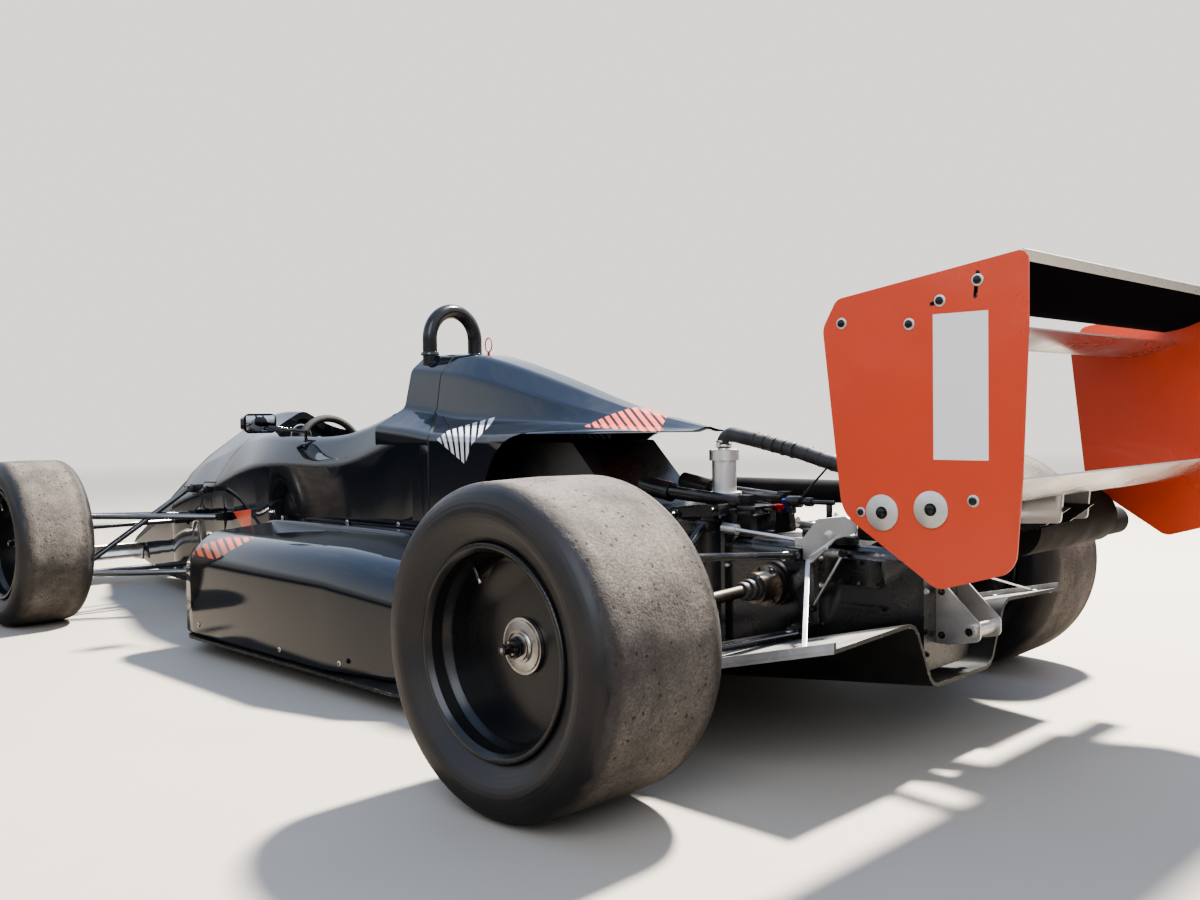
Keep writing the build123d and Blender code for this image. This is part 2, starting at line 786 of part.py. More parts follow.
with BuildPart() as rear_uprights:
    bar((upright_low_x, 0, rear_hub_z), (upright_high_x, 0, rear_hub_z), housing_diameter)
    plate(upright_face_x, 30, [(-38, 184), (38, 184), (26, 430), (-26, 430)], 10)
    bar((upright_low_x - 2, 0, rear_hub_z), (upright_high_x + 2, 0, rear_hub_z),
        stub_diameter + 2 * bore_gap, Mode.SUBTRACT)
    caliper(rear_centre_x, 0, rear_hub_z, rear_disc_x)
    block((upright_low_x + 8, 0, rear_hub_z - 30), (rear_disc_x - 20, 70, rear_hub_z + 30))
    bar((upright_low_x - 2, 0, rear_hub_z), (upright_high_x + 40, 0, rear_hub_z),
        stub_diameter + 2 * bore_gap, Mode.SUBTRACT)
    mirror(about=Plane.YZ)
rear_uprights.part.label = "rear_uprights"

# Dampers over the bell housing, one each side, with their rockers
damper_z = 476
with BuildPart() as rear_dampers:
    bar((74, -420, damper_z + 30), (74, -330, damper_z + 14), 46)
    bar((74, -330, damper_z + 14), (74, -120, damper_z - 2), 30)
    plate(62, 22, [(-132, case_top_z + seam), (-88, case_top_z + seam), (-96, 492), (-124, 492)], 0)
    plate(115, 35, [(-281, 437), (-124, 451), (-128, 475), (-281, 455)], (8, 3, 3, 8))
    x, y, z = rear_feet["rocker"]
    foot_top_z = z + foot_size[1] / 2 + seam
    plate(108, 18, [(y - 14, foot_top_z), (y + 14, foot_top_z), (y + 14, foot_top_z + 14), (y - 14, foot_top_z + 12)], 0)
    mirror(about=Plane.YZ)
rear_dampers.part.label = "rear_dampers"

with BuildPart() as front_wishbones:
    upper = (kingpin_x, front_axle, front_upper_z)
    lower = (kingpin_x, front_axle, front_lower_z)
    for name, outer in (("upper_front", upper), ("upper_rear", upper), ("lower_front", lower), ("lower_rear", lower)):
        x, y, z = front_feet[name]
        clevis(x + seam, y, z, clevis_length)
        bar((x + clevis_length - 8, y, z), outer, arm_diameter)
    x, y, z = front_feet["rocker"]
    clevis(x + seam, y, z, clevis_length)
    bar((x + clevis_length - 8, y, z), (kingpin_x - 30, front_axle, front_lower_z + 6), arm_diameter)
    for eye in (upper, lower):
        bar((eye[0], eye[1], eye[2] - eye_height / 2), (eye[0], eye[1], eye[2] + eye_height / 2), eye_width)
        bar((eye[0], eye[1], eye[2] - 30), (eye[0], eye[1], eye[2] + 30), pin_diameter + 2 * bore_gap, Mode.SUBTRACT)
    mirror(about=Plane.YZ)
front_wishbones.part.label = "front_wishbones"

# Front upright with its pins, caliper and steering arm
front_housing_low_x = 660
front_housing_high_x = 712
arm_gap = 6

with BuildPart() as front_upright_left:
    bar((front_housing_low_x, front_axle, front_hub_z), (front_housing_high_x, front_axle, front_hub_z),
        housing_diameter)
    low_z = front_lower_z + eye_height / 2 + arm_gap
    high_z = front_upper_z - eye_height / 2 - arm_gap
    block((kingpin_x - 12, front_axle - 18, low_z), (kingpin_x + 20, front_axle + 18, high_z))
    bar((kingpin_x, front_axle, front_lower_z - 10), (kingpin_x, front_axle, front_upper_z + 10), pin_diameter)
    block((kingpin_x - 12, rack_y - 14, rack_z - 26), (kingpin_x + 26, front_axle, rack_z - 14 - seam))
    caliper(front_centre_x, front_axle, front_hub_z, front_disc_x)
    block((front_housing_low_x, front_axle, front_hub_z - 30), (front_disc_x - 20, front_axle + 70, front_hub_z + 30))
    bar((front_housing_low_x - 40, front_axle, front_hub_z), (front_disc_x, front_axle, front_hub_z),
        stub_diameter + 2 * bore_gap, Mode.SUBTRACT)
front_upright_left.part.label = "front_upright_left"

with BuildPart() as front_upright_right:
    mirror(front_upright_left.part, about=Plane.YZ)
front_upright_right.part.label = "front_upright_right"

with BuildPart() as track_rods:
    bar((-220, rack_y, rack_z), (220, rack_y, rack_z), rack_diameter)
    bar((210, rack_y, rack_z), (kingpin_x - 6, rack_y, rack_z), 18)
    bar((kingpin_x, rack_y, rack_z - 14), (kingpin_x, rack_y, rack_z + 14), 30)
    mirror(about=Plane.YZ)
track_rods.part.label = "track_rods"

# Seat: foam block with a reclined back and side bolsters
seat_half = 196
seat_front_y = -1960
seat_side = [
    (seat_front_y, foot_z + tub_wall + seam),
    (cockpit_rear_y - 6, foot_z + tub_wall + seam),
    (cockpit_rear_y - 6, 560),
    (cockpit_rear_y - 46, 572),
    (-1600, 250),
    (seat_front_y, 190),
]
seat_hollow = [
    (seat_front_y - 10, 150),
    (-1700, 108),
    (-1600, 130),
    (cockpit_rear_y - 56, 530),
    (cockpit_rear_y - 46, 700),
    (seat_front_y - 10, 700),
]

with BuildPart() as seat:
    plate(-seat_half, 2 * seat_half, seat_side, (0, 0, 10, 20, 60, 30))
    plate(-seat_half + 46, 2 * seat_half - 92, seat_hollow, (0, 40, 60, 10, 0, 0), Mode.SUBTRACT)
seat.part.label = "seat"

# Dash panel under the scuttle, with the steering column's bush
column_at_dash_z = wheel_centre[2] - (wheel_centre[1] - dash_y) * column_slope
with BuildPart() as dash:
    extrude(arch_section(*tub_sections[3], inset=tub_wall + 0.6), amount=-8)
    block((-320, dash_y - 20, 0), (320, dash_y + 20, 440), Mode.SUBTRACT)
    bush_front = (0, dash_y - 14, column_at_dash_z - 14 * column_slope)
    bush_rear = (0, dash_y + 30, column_at_dash_z + 30 * column_slope)
    bar(bush_front, bush_rear, column_diameter + 16)
    bar((0, dash_y - 60, column_at_dash_z - 60 * column_slope), (0, dash_y + 60, column_at_dash_z + 60 * column_slope),
        column_diameter + 2 * bore_gap, Mode.SUBTRACT)
dash.part.label = "dash"

with BuildPart() as steering_wheel:
    column_line = Vector(0, -1, -column_slope)
    with Locations(Plane(origin=spot(*wheel_centre), x_dir=(1, 0, 0), z_dir=column_line)):
        Torus(steering_rim_radius, 12.5)
        for turn in (0, 120, 240):
            with Locations(Rotation(0, 0, turn - 90)):
                Box(steering_rim_radius, 26, 5, align=(Align.MIN, Align.CENTER, Align.CENTER))
        Cylinder(34, 16)
        Cylinder(column_diameter / 2, 330, align=(Align.CENTER, Align.CENTER, Align.MIN))
steering_wheel.part.label = "steering_wheel"

# Mirrors on short arms from the cockpit's rims
mirror_glass = (112, 62)
mirror_spot = (316, -1850, 664)
with BuildPart() as mirrors:
    with BuildSketch(cross_plane(mirror_spot[1])):
        with Locations((mirror_spot[0], mirror_spot[2])):
            RectangleRounded(*mirror_glass, 18)
    extrude(amount=46, taper=14)
    bar((mirror_pin[0], mirror_pin[1], deck_z - 16), (mirror_pin[0], mirror_pin[1], 640), mirror_pin_diameter)
    bar((mirror_pin[0], mirror_pin[1], 636), (mirror_spot[0] - 20, mirror_spot[1] - 20, mirror_spot[2] - 10), 12)
    mirror(about=Plane.YZ)
mirrors.part.label = "mirrors"

# Wheels: name, centre x, axle y, tyre radius, section half width, rounding of the shoulders,
# web offset, disc x, inner end of the hub
wheel_rows = [
    ("front", front_centre_x, front_axle, front_hub_z, 118, 34, 20, front_disc_x, front_housing_low_x),
    ("rear", rear_centre_x, 0, rear_hub_z, 150, 38, 53, rear_disc_x, upright_low_x),
]
bead_radius = 166
flange_radius = 182.5
barrel_radius = 156
rim_wall = 6
seat_radius = bead_radius + rim_wall
web_thickness = 12
hub_bore = 72
tyre_wall = 12
hub_flange_diameter = 97


def tyre_face(plane, radius, section, rounding):
    """Section of a slick tyre: crowned tread, rounded shoulders, sidewalls and beads, hollow inside."""
    bead_outer = section - 26 - seam
    left = [
        (section - 6 - tyre_wall, radius - 5 - tyre_wall),
        (section + 4 - tyre_wall, radius - 56),
        (section - 40, flange_radius),
        (section - 40, seat_radius + seam),
        (bead_outer, seat_radius + seam),
        (bead_outer, flange_radius + seam),
        (section - 22, flange_radius + seam),
        (section + 4, radius - 58),
        (section - 6, radius - 3),
    ]
    radii = [rounding - tyre_wall, 34, 8, 0, 0, 0, 4, 45, rounding]
    right = [(-x, z) for x, z in reversed(left)]
    return rounded_face(plane, left + [(0, radius)] + right, radii + [900] + radii[::-1])


def rim_face(plane, bead_half):
    """Section of a wheel's rim: flanges, bead seats and the well between them."""
    left = [
        (bead_half - 34, barrel_radius + rim_wall),
        (bead_half - 20, seat_radius),
        (bead_half - 4, seat_radius),
        (bead_half - 4, flange_radius),
        (bead_half + 8, flange_radius),
        (bead_half + 8, bead_radius + 8),
        (bead_half - 2, bead_radius),
        (bead_half - 24, bead_radius),
        (bead_half - 40, barrel_radius),
    ]
    radii = [0, 0, 0, 0, 3, 3, 4, 8, 8]
    right = [(-x, z) for x, z in reversed(left)]
    return rounded_face(plane, left + right, radii + radii[::-1])


for name, centre_x, axle_y, radius, section, rounding, web, disc_x, housing_x in wheel_rows:
    hub_z = radius
    wheel_plane = Plane(origin=spot(centre_x, axle_y, hub_z), x_dir=(1, 0, 0), z_dir=(0, -1, 0))
    wheel_axis = Axis(spot(centre_x, axle_y, hub_z), (1, 0, 0))
    web_low_x = centre_x + web - web_thickness
    web_high_x = centre_x + web

    with BuildPart() as tyre:
        revolve(tyre_face(wheel_plane, radius, section, rounding), axis=wheel_axis)
    with BuildPart() as rim:
        revolve(rim_face(wheel_plane, section - 22), axis=wheel_axis)
        bar((web_low_x, axle_y, hub_z), (web_high_x, axle_y, hub_z), 2 * barrel_radius + rim_wall)
        bar((web_low_x - 1, axle_y, hub_z), (web_high_x + 1, axle_y, hub_z), hub_bore, Mode.SUBTRACT)
    with BuildPart() as hub:
        for start_x, end_x, diameter in (
            (web_low_x - 12, web_low_x, hub_flange_diameter),
            (housing_x, web_high_x + 10, stub_diameter),
            (web_high_x + 1, web_high_x + 8, hub_flange_diameter),
            (web_high_x + 7, web_high_x + 14, 56),
            (web_high_x + 13, web_high_x + 34, 25),
            (disc_x - disc_width / 2, disc_x + disc_width / 2, 2 * disc_radius),
        ):
            bar((start_x, axle_y, hub_z), (end_x, axle_y, hub_z), diameter)
    for node, piece in (("tyre", tyre), ("rim", rim), ("hub", hub)):
        label = f"{node}_{name}"
        with BuildPart() as right_side:
            mirror(piece.part, about=Plane.YZ)
        piece.part.label = f"{label}_left"
        right_side.part.label = f"{label}_right"
        export_step(piece.part, f"parts/{label}_left.step")
        export_step(right_side.part, f"parts/{label}_right.step")

# Driveshafts, each with its inner and outer joints, on a line from the gearbox to the hub
shaft_diameter = 25
inner_joint = (output_boss_x, 0, axle_shaft_z)
outer_joint = (upright_low_x - 4, 0, rear_hub_z + 4)


def shaft_point(x):
    """Point of the left driveshaft's line at a distance x from the car's middle."""
    share = (x - inner_joint[0]) / (outer_joint[0] - inner_joint[0])
    return (x, 0, inner_joint[2] + share * (outer_joint[2] - inner_joint[2]))


with BuildPart() as driveshaft_left:
    for start_x, end_x, diameter in (
        (output_boss_x + 4, output_boss_x + 22, 89),
        (output_boss_x + 20, output_boss_x + 62, 65),
        (output_boss_x + 60, upright_low_x - 40, shaft_diameter),
        (upright_low_x - 56, upright_low_x - 4, 72),
    ):
        bar(shaft_point(start_x), shaft_point(end_x), diameter)
    bar(shaft_point(output_boss_x - spigot_depth), shaft_point(output_boss_x + 6), spigot_diameter - 1.2)
driveshaft_left.part.label = "driveshaft_left"

with BuildPart() as driveshaft_right:
    mirror(driveshaft_left.part, about=Plane.YZ)
driveshaft_right.part.label = "driveshaft_right"

for piece in (
    monocoque, hoop_fairing, roll_hoop, engine_cover, nose_cone, front_wing_left, front_wing_right, floor,
    sidepod_left, sidepod_right, radiators, engine, gearbox, oil_system, breather_hose, rear_main_plane,
    rear_flap, beam_wing, wing_posts, end_plate_left, end_plate_right, exhaust, jack_bracket, rear_wishbones,
    rear_uprights, rear_dampers, front_wishbones, front_upright_left, front_upright_right, track_rods, seat,
    dash, steering_wheel, mirrors, driveshaft_left, driveshaft_right, tail_brackets,
):
    export_step(piece.part, f"parts/{piece.part.label}.step")
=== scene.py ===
import json
import math
import bpy
import bmesh
from mathutils import Matrix, Vector


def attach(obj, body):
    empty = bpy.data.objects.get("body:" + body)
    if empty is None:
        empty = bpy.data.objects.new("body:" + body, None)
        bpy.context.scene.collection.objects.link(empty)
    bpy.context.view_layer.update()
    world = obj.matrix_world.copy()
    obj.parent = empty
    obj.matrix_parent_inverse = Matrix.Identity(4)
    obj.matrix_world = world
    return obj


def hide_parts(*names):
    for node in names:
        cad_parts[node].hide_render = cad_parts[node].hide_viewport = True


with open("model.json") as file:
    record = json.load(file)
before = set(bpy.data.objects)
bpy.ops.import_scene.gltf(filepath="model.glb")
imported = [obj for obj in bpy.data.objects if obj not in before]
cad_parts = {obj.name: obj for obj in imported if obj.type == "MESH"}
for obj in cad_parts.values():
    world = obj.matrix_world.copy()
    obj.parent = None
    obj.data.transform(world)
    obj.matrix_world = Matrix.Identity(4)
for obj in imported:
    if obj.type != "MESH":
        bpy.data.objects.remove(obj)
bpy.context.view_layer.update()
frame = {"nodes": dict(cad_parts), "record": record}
nodeBody = {n: b for b, names in frame["record"]["behaviour"]["bodies"].items() for n in names}
print("frame loaded:", len(nodeBody), "nodes")

# camera at the photo's viewing angle
view = {
    "place": (2.08016, 2.85708, 0.67286),
    "right": (-0.70764, 0.70644, -0.01365),
    "up": (-0.03095, -0.01169, 0.99945),
    "back": (0.70590, 0.70768, 0.03014),
    "lens": 33.84,
    "sensor": 36,
    "clipEnd": 200,
}
cameraData = bpy.data.cameras.new("camera")
cameraData.lens = view["lens"]
cameraData.sensor_width = view["sensor"]
cameraData.clip_end = view["clipEnd"]
camera = bpy.data.objects.new("camera", cameraData)
bpy.context.scene.collection.objects.link(camera)
turn = Matrix((view["right"], view["up"], view["back"])).transposed().to_4x4()
camera.matrix_world = Matrix.Translation(view["place"]) @ turn
bpy.context.scene.camera = camera

# places of pieces are in millimetres: x to the car's left, y behind the rear axle, z up
rearAxleY = 1416


def spot(x, y, z):
    return Vector((x, y + rearAxleY, z)) / 1000


# node helpers for the materials


def addNode(tree, kind, inputs=None, **settings):
    node = tree.nodes.new(kind)
    for key, value in settings.items():
        setattr(node, key, value)
    for key, value in (inputs or {}).items():
        socket = node.inputs[key]
        if isinstance(value, bpy.types.NodeSocket):
            tree.links.new(value, socket)
        else:
            socket.default_value = value
    return node


def maths(tree, operation, a, b=0.0, c=0.0, clamp=False):
    inputs = {0: a, 1: b, 2: c}
    return addNode(tree, "ShaderNodeMath", inputs, operation=operation, use_clamp=clamp).outputs[0]


def combine(tree, operation, values):
    result = values[0]
    for value in values[1:]:
        result = maths(tree, operation, result, value)
    return result


def noise(tree, place, scale, detail=4.0, roughness=0.55):
    inputs = {"Vector": place, "Scale": scale, "Detail": detail, "Roughness": roughness}
    return addNode(tree, "ShaderNodeTexNoise", inputs).outputs["Fac"]


def between(tree, value, low, high, outLow=0.0, outHigh=1.0):
    inputs = {"Value": value, "From Min": low, "From Max": high, "To Min": outLow, "To Max": outHigh}
    return addNode(tree, "ShaderNodeMapRange", inputs).outputs[0]


def mixColour(tree, share, a, b):
    node = addNode(tree, "ShaderNodeMix", data_type="RGBA")
    for key, value in ((0, share), (6, a), (7, b)):
        if isinstance(value, bpy.types.NodeSocket):
            tree.links.new(value, node.inputs[key])
        else:
            node.inputs[key].default_value = (*value, 1) if isinstance(value, tuple) else value
    return node.outputs[2]


def addBump(tree, shader, height, strength, depth):
    bump = addNode(tree, "ShaderNodeBump", {"Height": height, "Strength": strength, "Distance": depth})
    tree.links.new(bump.outputs[0], shader.inputs["Normal"])


def normalOf(tree):
    return addNode(tree, "ShaderNodeNewGeometry").outputs["Normal"]


# x is taken without its sign, so that both sides of the car get the same marks
def axesOf(tree, place):
    parts = addNode(tree, "ShaderNodeSeparateXYZ", {0: place}).outputs
    rearwards = maths(tree, "SUBTRACT", parts["Y"], rearAxleY / 1000)
    return maths(tree, "ABSOLUTE", parts["X"]), rearwards, parts["Z"]


# each side of a run of corners: its start, its direction and its length
def sidesOf(corners):
    for start, end in zip(corners, corners[1:]):
        length = math.dist(start, end)
        yield start, ((end[0] - start[0]) / length, (end[1] - start[1]) / length), length


# millimetres from a start point along a direction of the side plane
def measured(tree, u, v, start, way):
    level = maths(tree, "MULTIPLY_ADD", u, way[0] * 1000, -way[0] * start[0] - way[1] * start[1])
    return maths(tree, "MULTIPLY_ADD", v, way[1] * 1000, level)


# share of a convex outline, given anticlockwise as y and z on a side plane
def insideOf(tree, u, v, corners, soft=0.7):
    sides = []
    for start, (du, dv), _ in sidesOf(corners + corners[:1]):
        sides.append(between(tree, measured(tree, u, v, start, (-dv, du)), -soft, soft))
    return combine(tree, "MULTIPLY", sides)


# thin line along a run of corners on a side plane
def lineAlong(tree, u, v, corners, half, soft=0.8):
    lines = []
    for start, (du, dv), length in sidesOf(corners):
        across = maths(tree, "ABSOLUTE", measured(tree, u, v, start, (-dv, du)))
        run = maths(tree, "SUBTRACT", measured(tree, u, v, start, (du, dv)), length / 2)
        near = between(tree, across, half, half + soft, 1.0, 0.0)
        ends = between(tree, maths(tree, "ABSOLUTE", run), length / 2, length / 2 + 1, 1.0, 0.0)
        lines.append(maths(tree, "MULTIPLY", near, ends))
    return combine(tree, "MAXIMUM", lines)


# worn edges: where the rounded normal leaves the face's own one, broken up by grain
wearLook = {"samples": 4, "turned": (0.995, 0.90), "grainScale": 60, "broken": (0.62, 0.68)}


def edgeWear(tree, place, radius, amount):
    rounded = addNode(tree, "ShaderNodeBevel", {"Radius": radius}, samples=wearLook["samples"]).outputs[0]
    inputs = {0: rounded, 1: normalOf(tree)}
    turned = addNode(tree, "ShaderNodeVectorMath", inputs, operation="DOT_PRODUCT").outputs["Value"]
    low, high = wearLook["broken"]
    grain = between(tree, noise(tree, place, wearLook["grainScale"], 3), low - amount, high - amount)
    return maths(tree, "MULTIPLY", between(tree, turned, *wearLook["turned"]), grain, clamp=True)


# what a finish has unless its own look says otherwise
plainLook = {"patchScale": 3.0, "patches": (0.35, 0.68), "grainScale": 120.0, "grain": (0.1, 0.9),
             "metal": 0.0, "wornRough": 0.35, "bumpDepth": 0.001, "coatRough": 0.03, "ior": 1.5,
             "specular": 0.5}


def lookOf(base, second, rough, **own):
    return {**plainLook, "base": base, "second": second, "rough": rough, **own}


def makeFinish(name, look):
    finish = bpy.data.materials.new(name)
    finish.use_nodes = True
    tree = finish.node_tree
    tree.nodes.clear()
    shader = addNode(tree, "ShaderNodeBsdfPrincipled")
    addNode(tree, "ShaderNodeOutputMaterial", {"Surface": shader.outputs[0]})
    place = addNode(tree, "ShaderNodeTexCoord").outputs["Object"]
    patches = between(tree, noise(tree, place, look["patchScale"], 5), *look["patches"])
    colour = mixColour(tree, patches, look["base"], look["second"])
    grain = noise(tree, place, look["grainScale"], 2)
    smoothest, roughest = look["rough"]
    spread = min(0.015, smoothest * 0.3)
    rough = between(tree, patches, 0, 1, smoothest, roughest)
    rough = maths(tree, "ADD", rough, between(tree, grain, *look["grain"], -spread, spread), clamp=True)
    shader.inputs["Metallic"].default_value = look["metal"]
    if "wear" in look:
        radius, amount, bare = look["wear"]
        worn = edgeWear(tree, place, radius, amount)
        colour = mixColour(tree, worn, colour, bare)
        rough = between(tree, worn, 0, 1, rough, look["wornRough"])
        tree.links.new(between(tree, worn, 0, 1, look["metal"], 1.0), shader.inputs["Metallic"])
    if "bump" in look:
        addBump(tree, shader, grain, look["bump"], look["bumpDepth"])
    if "coat" in look:
        shader.inputs["Coat Weight"].default_value = look["coat"]
        shader.inputs["Coat Roughness"].default_value = look["coatRough"]
    if "sheen" in look:
        shader.inputs["Sheen Weight"].default_value = look["sheen"]
    shader.inputs["IOR"].default_value = look["ior"]
    shader.inputs["Specular IOR Level"].default_value = look["specular"]
    tree.links.new(colour, shader.inputs["Base Color"])
    tree.links.new(rough, shader.inputs["Roughness"])
    return finish, tree, shader, place


# paints a colour over a finish where the mask is
def overlay(tree, shader, mask, colour, rough):
    oldColour = shader.inputs["Base Color"].links[0].from_socket
    oldRough = shader.inputs["Roughness"].links[0].from_socket
    newRough = maths(tree, "MULTIPLY_ADD", mask, maths(tree, "SUBTRACT", rough, oldRough), oldRough)
    tree.links.new(mixColour(tree, mask, oldColour, colour), shader.inputs["Base Color"])
    tree.links.new(newRough, shader.inputs["Roughness"])


# finishes: two tones in patches, least and most roughness; wear is radius, amount and tone
bareMetal = (0.55, 0.54, 0.52)
looks = {
    "body_paint": lookOf((0.006, 0.008, 0.012), (0.009, 0.011, 0.016), (0.03, 0.07), patchScale=2.0,
        ior=1.68),
    "exhaust_black": lookOf((0.010, 0.010, 0.010), (0.022, 0.020, 0.018), (0.5, 0.7), patchScale=12.0,
        bump=0.3, specular=0.12),
    "arm_black": lookOf((0.020, 0.021, 0.024), (0.035, 0.036, 0.040), (0.12, 0.25), patchScale=12.0,
        ior=2.2),
    "rod_steel": lookOf((0.50, 0.50, 0.51), (0.36, 0.36, 0.36), (0.22, 0.36), metal=1.0, patchScale=14.0),
    "floor_black": lookOf((0.012, 0.012, 0.013), (0.03, 0.029, 0.027), (0.3, 0.55), patchScale=6.0, bump=0.2,
        wear=(0.003, 0.05, bareMetal)),
    "tyre_rubber": lookOf((0.012, 0.012, 0.014), (0.026, 0.022, 0.020), (0.36, 0.52), patchScale=9.0,
        bump=0.12),
    "rim_black": lookOf((0.010, 0.010, 0.011), (0.02, 0.019, 0.018), (0.2, 0.36),
        wear=(0.0010, -0.10, (0.22, 0.21, 0.20))),
    "hub_metal": lookOf((0.52, 0.50, 0.47), (0.34, 0.31, 0.28), (0.25, 0.42), metal=1.0, patchScale=30.0),
    "black_metal": lookOf((0.011, 0.011, 0.012), (0.022, 0.021, 0.021), (0.14, 0.3), patchScale=14.0,
        wear=(0.0015, 0.0, bareMetal)),
    "cast_black": lookOf((0.009, 0.009, 0.010), (0.019, 0.019, 0.020), (0.2, 0.4), patchScale=9.0,
        grainScale=260.0, bump=0.5, ior=1.8, wear=(0.002, 0.0, bareMetal)),
    "brushed_aluminium": lookOf((0.78, 0.77, 0.75), (0.62, 0.61, 0.59), (0.36, 0.52), metal=1.0,
        patchScale=18.0),
    "wing_aluminium": lookOf((0.80, 0.79, 0.78), (0.68, 0.67, 0.66), (0.24, 0.4), metal=1.0, patchScale=8.0),
    "wing_black": lookOf((0.010, 0.010, 0.011), (0.016, 0.016, 0.017), (0.16, 0.3), coat=0.3),
    "plate_orange": lookOf((0.72, 0.094, 0.043), (0.66, 0.083, 0.038), (0.26, 0.4), coat=0.25,
        patchScale=4.0),
    "hose_black": lookOf((0.018, 0.018, 0.019), (0.045, 0.043, 0.040), (0.35, 0.6), patchScale=40.0,
        bump=0.5),
    "shaft_bronze": lookOf((0.28, 0.245, 0.20), (0.105, 0.088, 0.073), (0.28, 0.46), metal=1.0,
        patchScale=25.0),
    "seat_cloth": lookOf((0.02, 0.02, 0.021), (0.035, 0.034, 0.034), (0.85, 0.95), sheen=0.1, bump=0.5,
        grainScale=500.0),
    "radiator_core": lookOf((0.10, 0.10, 0.10), (0.18, 0.17, 0.16), (0.4, 0.55), metal=0.9, bump=0.6),
    "steering_grip": lookOf((0.015, 0.014, 0.014), (0.03, 0.028, 0.026), (0.7, 0.85), bump=0.6,
        grainScale=400.0),
    "anodised_red": lookOf((0.50, 0.02, 0.015), (0.35, 0.014, 0.0105), (0.2, 0.35), metal=0.8,
        patchScale=40.0),
    "anodised_blue": lookOf((0.02, 0.06, 0.38), (0.014, 0.042, 0.266), (0.2, 0.35), metal=0.8,
        patchScale=40.0),
    "pull_red": lookOf((0.45, 0.03, 0.02), (0.30, 0.03, 0.02), (0.35, 0.5), patchScale=20.0),
    "belt_blue": lookOf((0.02, 0.035, 0.09), (0.03, 0.05, 0.12), (0.75, 0.9), bump=0.5, grainScale=600.0),
    "mirror_glass": lookOf((0.50, 0.52, 0.54), (0.44, 0.46, 0.48), (0.03, 0.06), metal=1.0),
    "dial_face": lookOf((0.015, 0.015, 0.016), (0.03, 0.03, 0.03), (0.25, 0.35), coat=0.6),
}
looks["flap_metal"] = {**looks["wing_aluminium"], "specular": 0.0}
made = {name: makeFinish(name, look) for name, look in looks.items()}
finishes = {name: parts[0] for name, parts in made.items()}

# paint marks of the body: side plane x, least and most x painted, lean of the line of sight in y and z,
# then outlines as y and z, and for stripes their turn, bend, middle and period
stripeOrange = (0.86, 0.13, 0.055)
marks = [
    {"x": 258, "reach": (110, 300), "sight": (1.275, 0.031), "colour": (0.80, 0.82, 0.84), "rough": 0.2,
     "outlines": [[(-1005, 616), (-884, 552), (-855, 604), (-842, 662), (-955, 640)],
                  [(-855, 604), (-736, 680), (-842, 662)]],
     "turn": 0.0, "bend": 6.1, "middle": (-881, 650), "period": 29.5},
    {"x": 100, "reach": (-10, 300), "sight": (0.943, 0.006), "colour": stripeOrange, "rough": 0.2,
     "outlines": [[(-599, 647), (-346, 633), (-314, 671), (-404, 696), (-440, 692), (-514, 674)]],
     "turn": -1.05, "bend": 0.0, "middle": (-450, 660), "period": 29.0},
    {"x": 600, "reach": (380, 700), "sight": (2.056, 0.241), "colour": stripeOrange, "rough": 0.2,
     "outlines": [[(-1745, 284), (-1600, 280), (-1360, 360), (-1540, 347), (-1700, 312)]],
     "turn": -0.9, "bend": 0.0, "middle": (-1600, 310), "period": 56.0},
    {"x": 240, "reach": (190, 262), "sight": (1.931, 0.178), "colour": (0.80, 0.10, 0.04), "rough": 0.25,
     "outlines": [[(-2195, 361), (-2136, 312), (-2071, 316), (-2069, 376)]]},
]
stripeEdge = (0.29, 0.33)
# seams of the body panels as y and z
seams = {
    "runs": [
        [(-2270, 640), (-2296, 606), (-2415, 533), (-2461, 454), (-2469, 397), (-2667, 399)],
        [(-2601, 445), (-2601, 403), (-2460, 405), (-2453, 450), (-2601, 445)],
        [(-1158, 900), (-1158, 690), (-1050, 633), (-1050, 380)],
    ],
    "half": 1.8, "colour": (0.001, 0.001, 0.001), "rough": 0.8,
}
bodyDust = {"scale": 5, "patches": (0.5, 0.75), "most": 0.05, "heights": (0.05, 0.35), "above": 0.15,
            "colour": (0.30, 0.27, 0.23), "rough": 0.5}


def stripesOf(tree, u, v, mark):
    middleY, middleZ = mark["middle"]
    rise = maths(tree, "SUBTRACT", v, middleZ / 1000)
    lean = maths(tree, "MULTIPLY_ADD", u, mark["bend"], mark["turn"] - mark["bend"] * middleY / 1000)
    run = maths(tree, "SUBTRACT", u, maths(tree, "MULTIPLY", rise, lean))
    phase = maths(tree, "FRACT", maths(tree, "MULTIPLY", run, 1000 / mark["period"]))
    offset = maths(tree, "ABSOLUTE", maths(tree, "SUBTRACT", phase, 0.5))
    return between(tree, offset, *stripeEdge, 1.0, 0.0)


def markShare(tree, axes, mark):
    away = maths(tree, "SUBTRACT", mark["x"] / 1000, axes[0])
    u = maths(tree, "MULTIPLY_ADD", away, mark["sight"][0], axes[1])
    v = maths(tree, "MULTIPLY_ADD", away, mark["sight"][1], axes[2])
    low, high = mark["reach"]
    shares = [
        combine(tree, "MAXIMUM", [insideOf(tree, u, v, outline) for outline in mark["outlines"]]),
        between(tree, axes[0], (low - 1) / 1000, low / 1000),
        between(tree, axes[0], (high + 1) / 1000, high / 1000),
    ]
    if "period" in mark:
        shares.append(stripesOf(tree, u, v, mark))
    return combine(tree, "MULTIPLY", shares)


